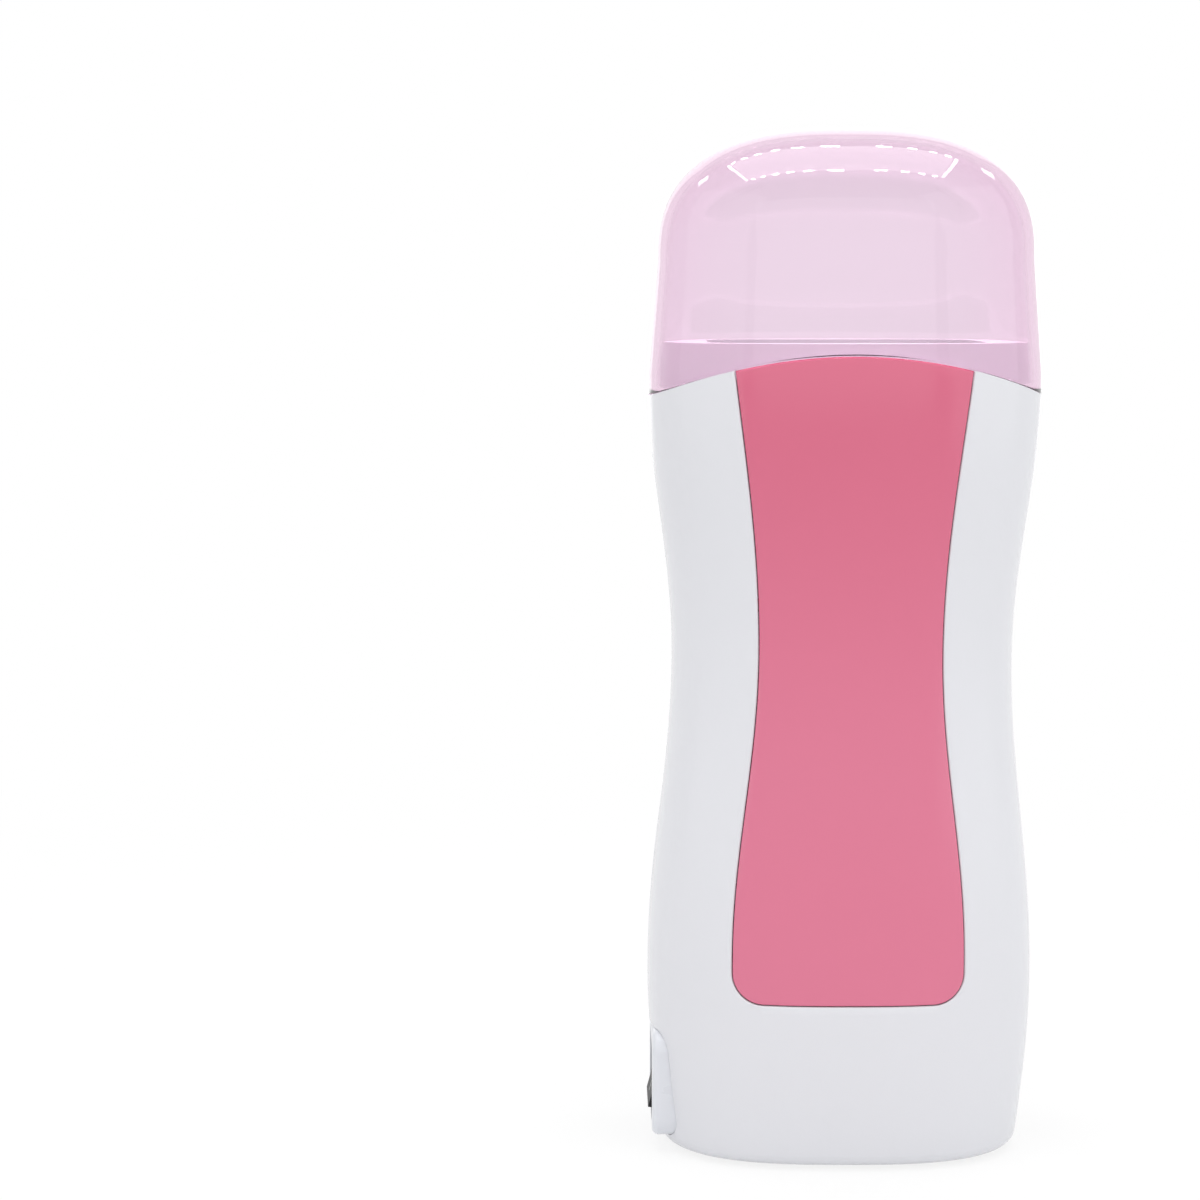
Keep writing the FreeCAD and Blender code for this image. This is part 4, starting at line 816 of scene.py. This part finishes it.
def on_key(across, along, side):
    """A point on the upper (1) or lower (-1) face of the switch key, off the middle of its mark."""
    share = MARK_AT + along / math.hypot(KEY_RISE, KEY_HALF)
    x = -(KEY_FACE + KEY_RISE * share + MARK_LIFT)
    lean = math.radians(ROCKER_TILT)
    z = side * KEY_HALF * share
    return Vector((x * math.cos(lean) + z * math.sin(lean) - ROCKER_AXIS, across,
                   z * math.cos(lean) - x * math.sin(lean) + SWITCH_HEIGHT))


def make_marks():
    """Ring on the upper face of the switch key and bar on the lower one."""
    turns = [2 * math.pi * i / RING_STEPS for i in range(RING_STEPS + 1)]
    rings = [[on_key(radius * math.cos(turn), radius * math.sin(turn), 1) for turn in turns]
             for radius in RING_RADII]
    bar = [[on_key(across, along, -1) for along in (-BAR_LONG, BAR_LONG)]
           for across in (-BAR_WIDE, BAR_WIDE)]
    piece = add_piece("key_marks", mesh_from("key_marks", [patch(rings), patch(bar)]), mark_paint)
    thicken(piece, MARK_DEPTH)
    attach(piece, "rocker")


make_shells()
make_inlays()
make_cap()
make_feet()
make_marks()


# Camera, floor and light, in metres

CAMERA_PLACE = (-0.0485, -0.5443, 0.1739)
CAMERA_TILT = 83.33
CAMERA_LENS, CAMERA_SENSOR = 81.5, 36.0
NEAREST_SEEN = 0.01
FLOOR_REACH = 3.0
FLOOR_PAPER = (0.9, 0.9, 0.9, 1)
# Distance from the object over which the paper runs out, and its share of white there
FADE_FROM, FADE_TO = 0.05, 0.45
WHITE_NEAR, WHITE_FAR = 0.84, 1.0
WORLD_LIGHT = 0.45
WHITE = (1, 1, 1, 1)


def make_camera():
    data = bpy.data.cameras.new("photo_camera")
    data.lens = CAMERA_LENS
    data.sensor_width = CAMERA_SENSOR
    data.clip_start = NEAREST_SEEN
    camera = bpy.data.objects.new("photo_camera", data)
    camera.location = CAMERA_PLACE
    camera.rotation_euler = (math.radians(CAMERA_TILT), 0, 0)
    bpy.context.scene.collection.objects.link(camera)
    bpy.context.scene.camera = camera


def shown_rays(nodes, links):
    """1 for what the camera sees directly, in a gloss or through the clear plastic."""
    path = nodes.new("ShaderNodeLightPath")
    total = path.outputs["Is Camera Ray"]
    for ray in ("Is Glossy Ray", "Is Transmission Ray"):
        either = nodes.new("ShaderNodeMath")
        either.operation = "MAXIMUM"
        links.new(total, either.inputs[0])
        links.new(path.outputs[ray], either.inputs[1])
        total = either.outputs[0]
    return total


def make_floor():
    material = bpy.data.materials.new("studio_floor")
    material.use_nodes = True
    nodes, links = material.node_tree.nodes, material.node_tree.links
    nodes.remove(nodes["Principled BSDF"])
    paper = nodes.new("ShaderNodeBsdfDiffuse")
    paper.inputs["Color"].default_value = FLOOR_PAPER
    glow = nodes.new("ShaderNodeEmission")
    glow.inputs["Strength"].default_value = 1.0
    # Away from the object the paper runs out into the white of the backdrop
    spot = nodes.new("ShaderNodeTexCoord")
    far = nodes.new("ShaderNodeVectorMath")
    far.operation = "LENGTH"
    fade = nodes.new("ShaderNodeMapRange")
    fade.inputs["From Min"].default_value = FADE_FROM
    fade.inputs["From Max"].default_value = FADE_TO
    fade.inputs["To Min"].default_value = WHITE_NEAR
    fade.inputs["To Max"].default_value = WHITE_FAR
    share = nodes.new("ShaderNodeMath")
    share.operation = "MULTIPLY"
    mix = nodes.new("ShaderNodeMixShader")
    links.new(spot.outputs["Object"], far.inputs[0])
    links.new(far.outputs["Value"], fade.inputs["Value"])
    links.new(shown_rays(nodes, links), share.inputs[0])
    links.new(fade.outputs["Result"], share.inputs[1])
    links.new(share.outputs[0], mix.inputs[0])
    links.new(paper.outputs[0], mix.inputs[1])
    links.new(glow.outputs[0], mix.inputs[2])
    links.new(mix.outputs[0], nodes["Material Output"].inputs["Surface"])
    mesh = bpy.data.meshes.new("studio_floor")
    corners = [(x * FLOOR_REACH, y * FLOOR_REACH, 0) for x, y in ((-1, -1), (1, -1), (1, 1), (-1, 1))]
    mesh.from_pydata(corners, [], [(0, 1, 2, 3)])
    floor = add_piece("studio_floor", mesh, material)


def make_world():
    world = bpy.data.worlds.new("studio_world")
    bpy.context.scene.world = world
    world.use_nodes = True
    nodes, links = world.node_tree.nodes, world.node_tree.links
    light = nodes["Background"]
    light.inputs["Color"].default_value = WHITE
    light.inputs["Strength"].default_value = WORLD_LIGHT
    seen = nodes.new("ShaderNodeBackground")
    seen.inputs["Color"].default_value = WHITE
    mix = nodes.new("ShaderNodeMixShader")
    links.new(shown_rays(nodes, links), mix.inputs[0])
    links.new(light.outputs[0], mix.inputs[1])
    links.new(seen.outputs[0], mix.inputs[2])
    links.new(mix.outputs[0], nodes["World Output"].inputs["Surface"])


def make_lamp(name, place, aim, size, power):
    data = bpy.data.lights.new(name, "AREA")
    data.shape = "RECTANGLE"
    data.size, data.size_y = size
    data.energy = power
    lamp = bpy.data.objects.new(name, data)
    lamp.location = place
    lamp.rotation_euler = (Vector(aim) - Vector(place)).to_track_quat("-Z", "Y").to_euler()
    # Through the clear cap only the backdrop shows
    lamp.visible_transmission = False
    bpy.context.scene.collection.objects.link(lamp)


# Name, place, aim, size and power
SOFT_BOXES = (
    ("top_box", (0.0, 0.0, 0.76), (0, 0, 0), (0.6, 0.44), 1.9),
    ("left_box", (-0.65, -0.35, 0.35), (0, 0, 0.1), (0.9, 0.9), 1.3),
    ("right_box", (0.65, -0.35, 0.35), (0, 0, 0.1), (0.9, 0.9), 1.65),
    ("front_box", (0.0, -1.2, 0.5), (0, 0, 0.1), (1.2, 1.0), 2.4),
    ("rear_box", (0.0, 1.2, 0.5), (0, 0, 0.1), (1.2, 1.0), 2.4),
)
# Frame of small lamps round the box overhead
FRAME_X, FRAME_Y, FRAME_HEIGHT = 0.31, 0.22, 0.75
FRAME_START, FRAME_STEP, FRAME_LAMPS = -0.27, 0.06, 10
FRAME_LAMP, FRAME_LAMP_POWER = (0.026, 0.026), 0.075
FRAME_BAR, FRAME_BAR_POWER = (0.02, 0.44), 0.35


def make_lamps():
    for box in SOFT_BOXES:
        make_lamp(*box)
    for side in (-1, 1):
        x, y = FRAME_X * side, FRAME_Y * side
        make_lamp("frame_bar", (x, 0.0, FRAME_HEIGHT), (x, 0.0, 0.0), FRAME_BAR, FRAME_BAR_POWER)
        make_lamp("rear_lamp", (0.6 * side, 0.35, 0.8), (0, 0, 0.18), (0.12, 0.12), 0.3)
        for i in range(FRAME_LAMPS):
            x = FRAME_START + FRAME_STEP * i
            make_lamp("frame_lamp", (x, y, FRAME_HEIGHT), (x, y, 0.0), FRAME_LAMP, FRAME_LAMP_POWER)


make_camera()
make_floor()
make_world()
make_lamps()
bpy.context.scene.view_settings.view_transform = "Standard"
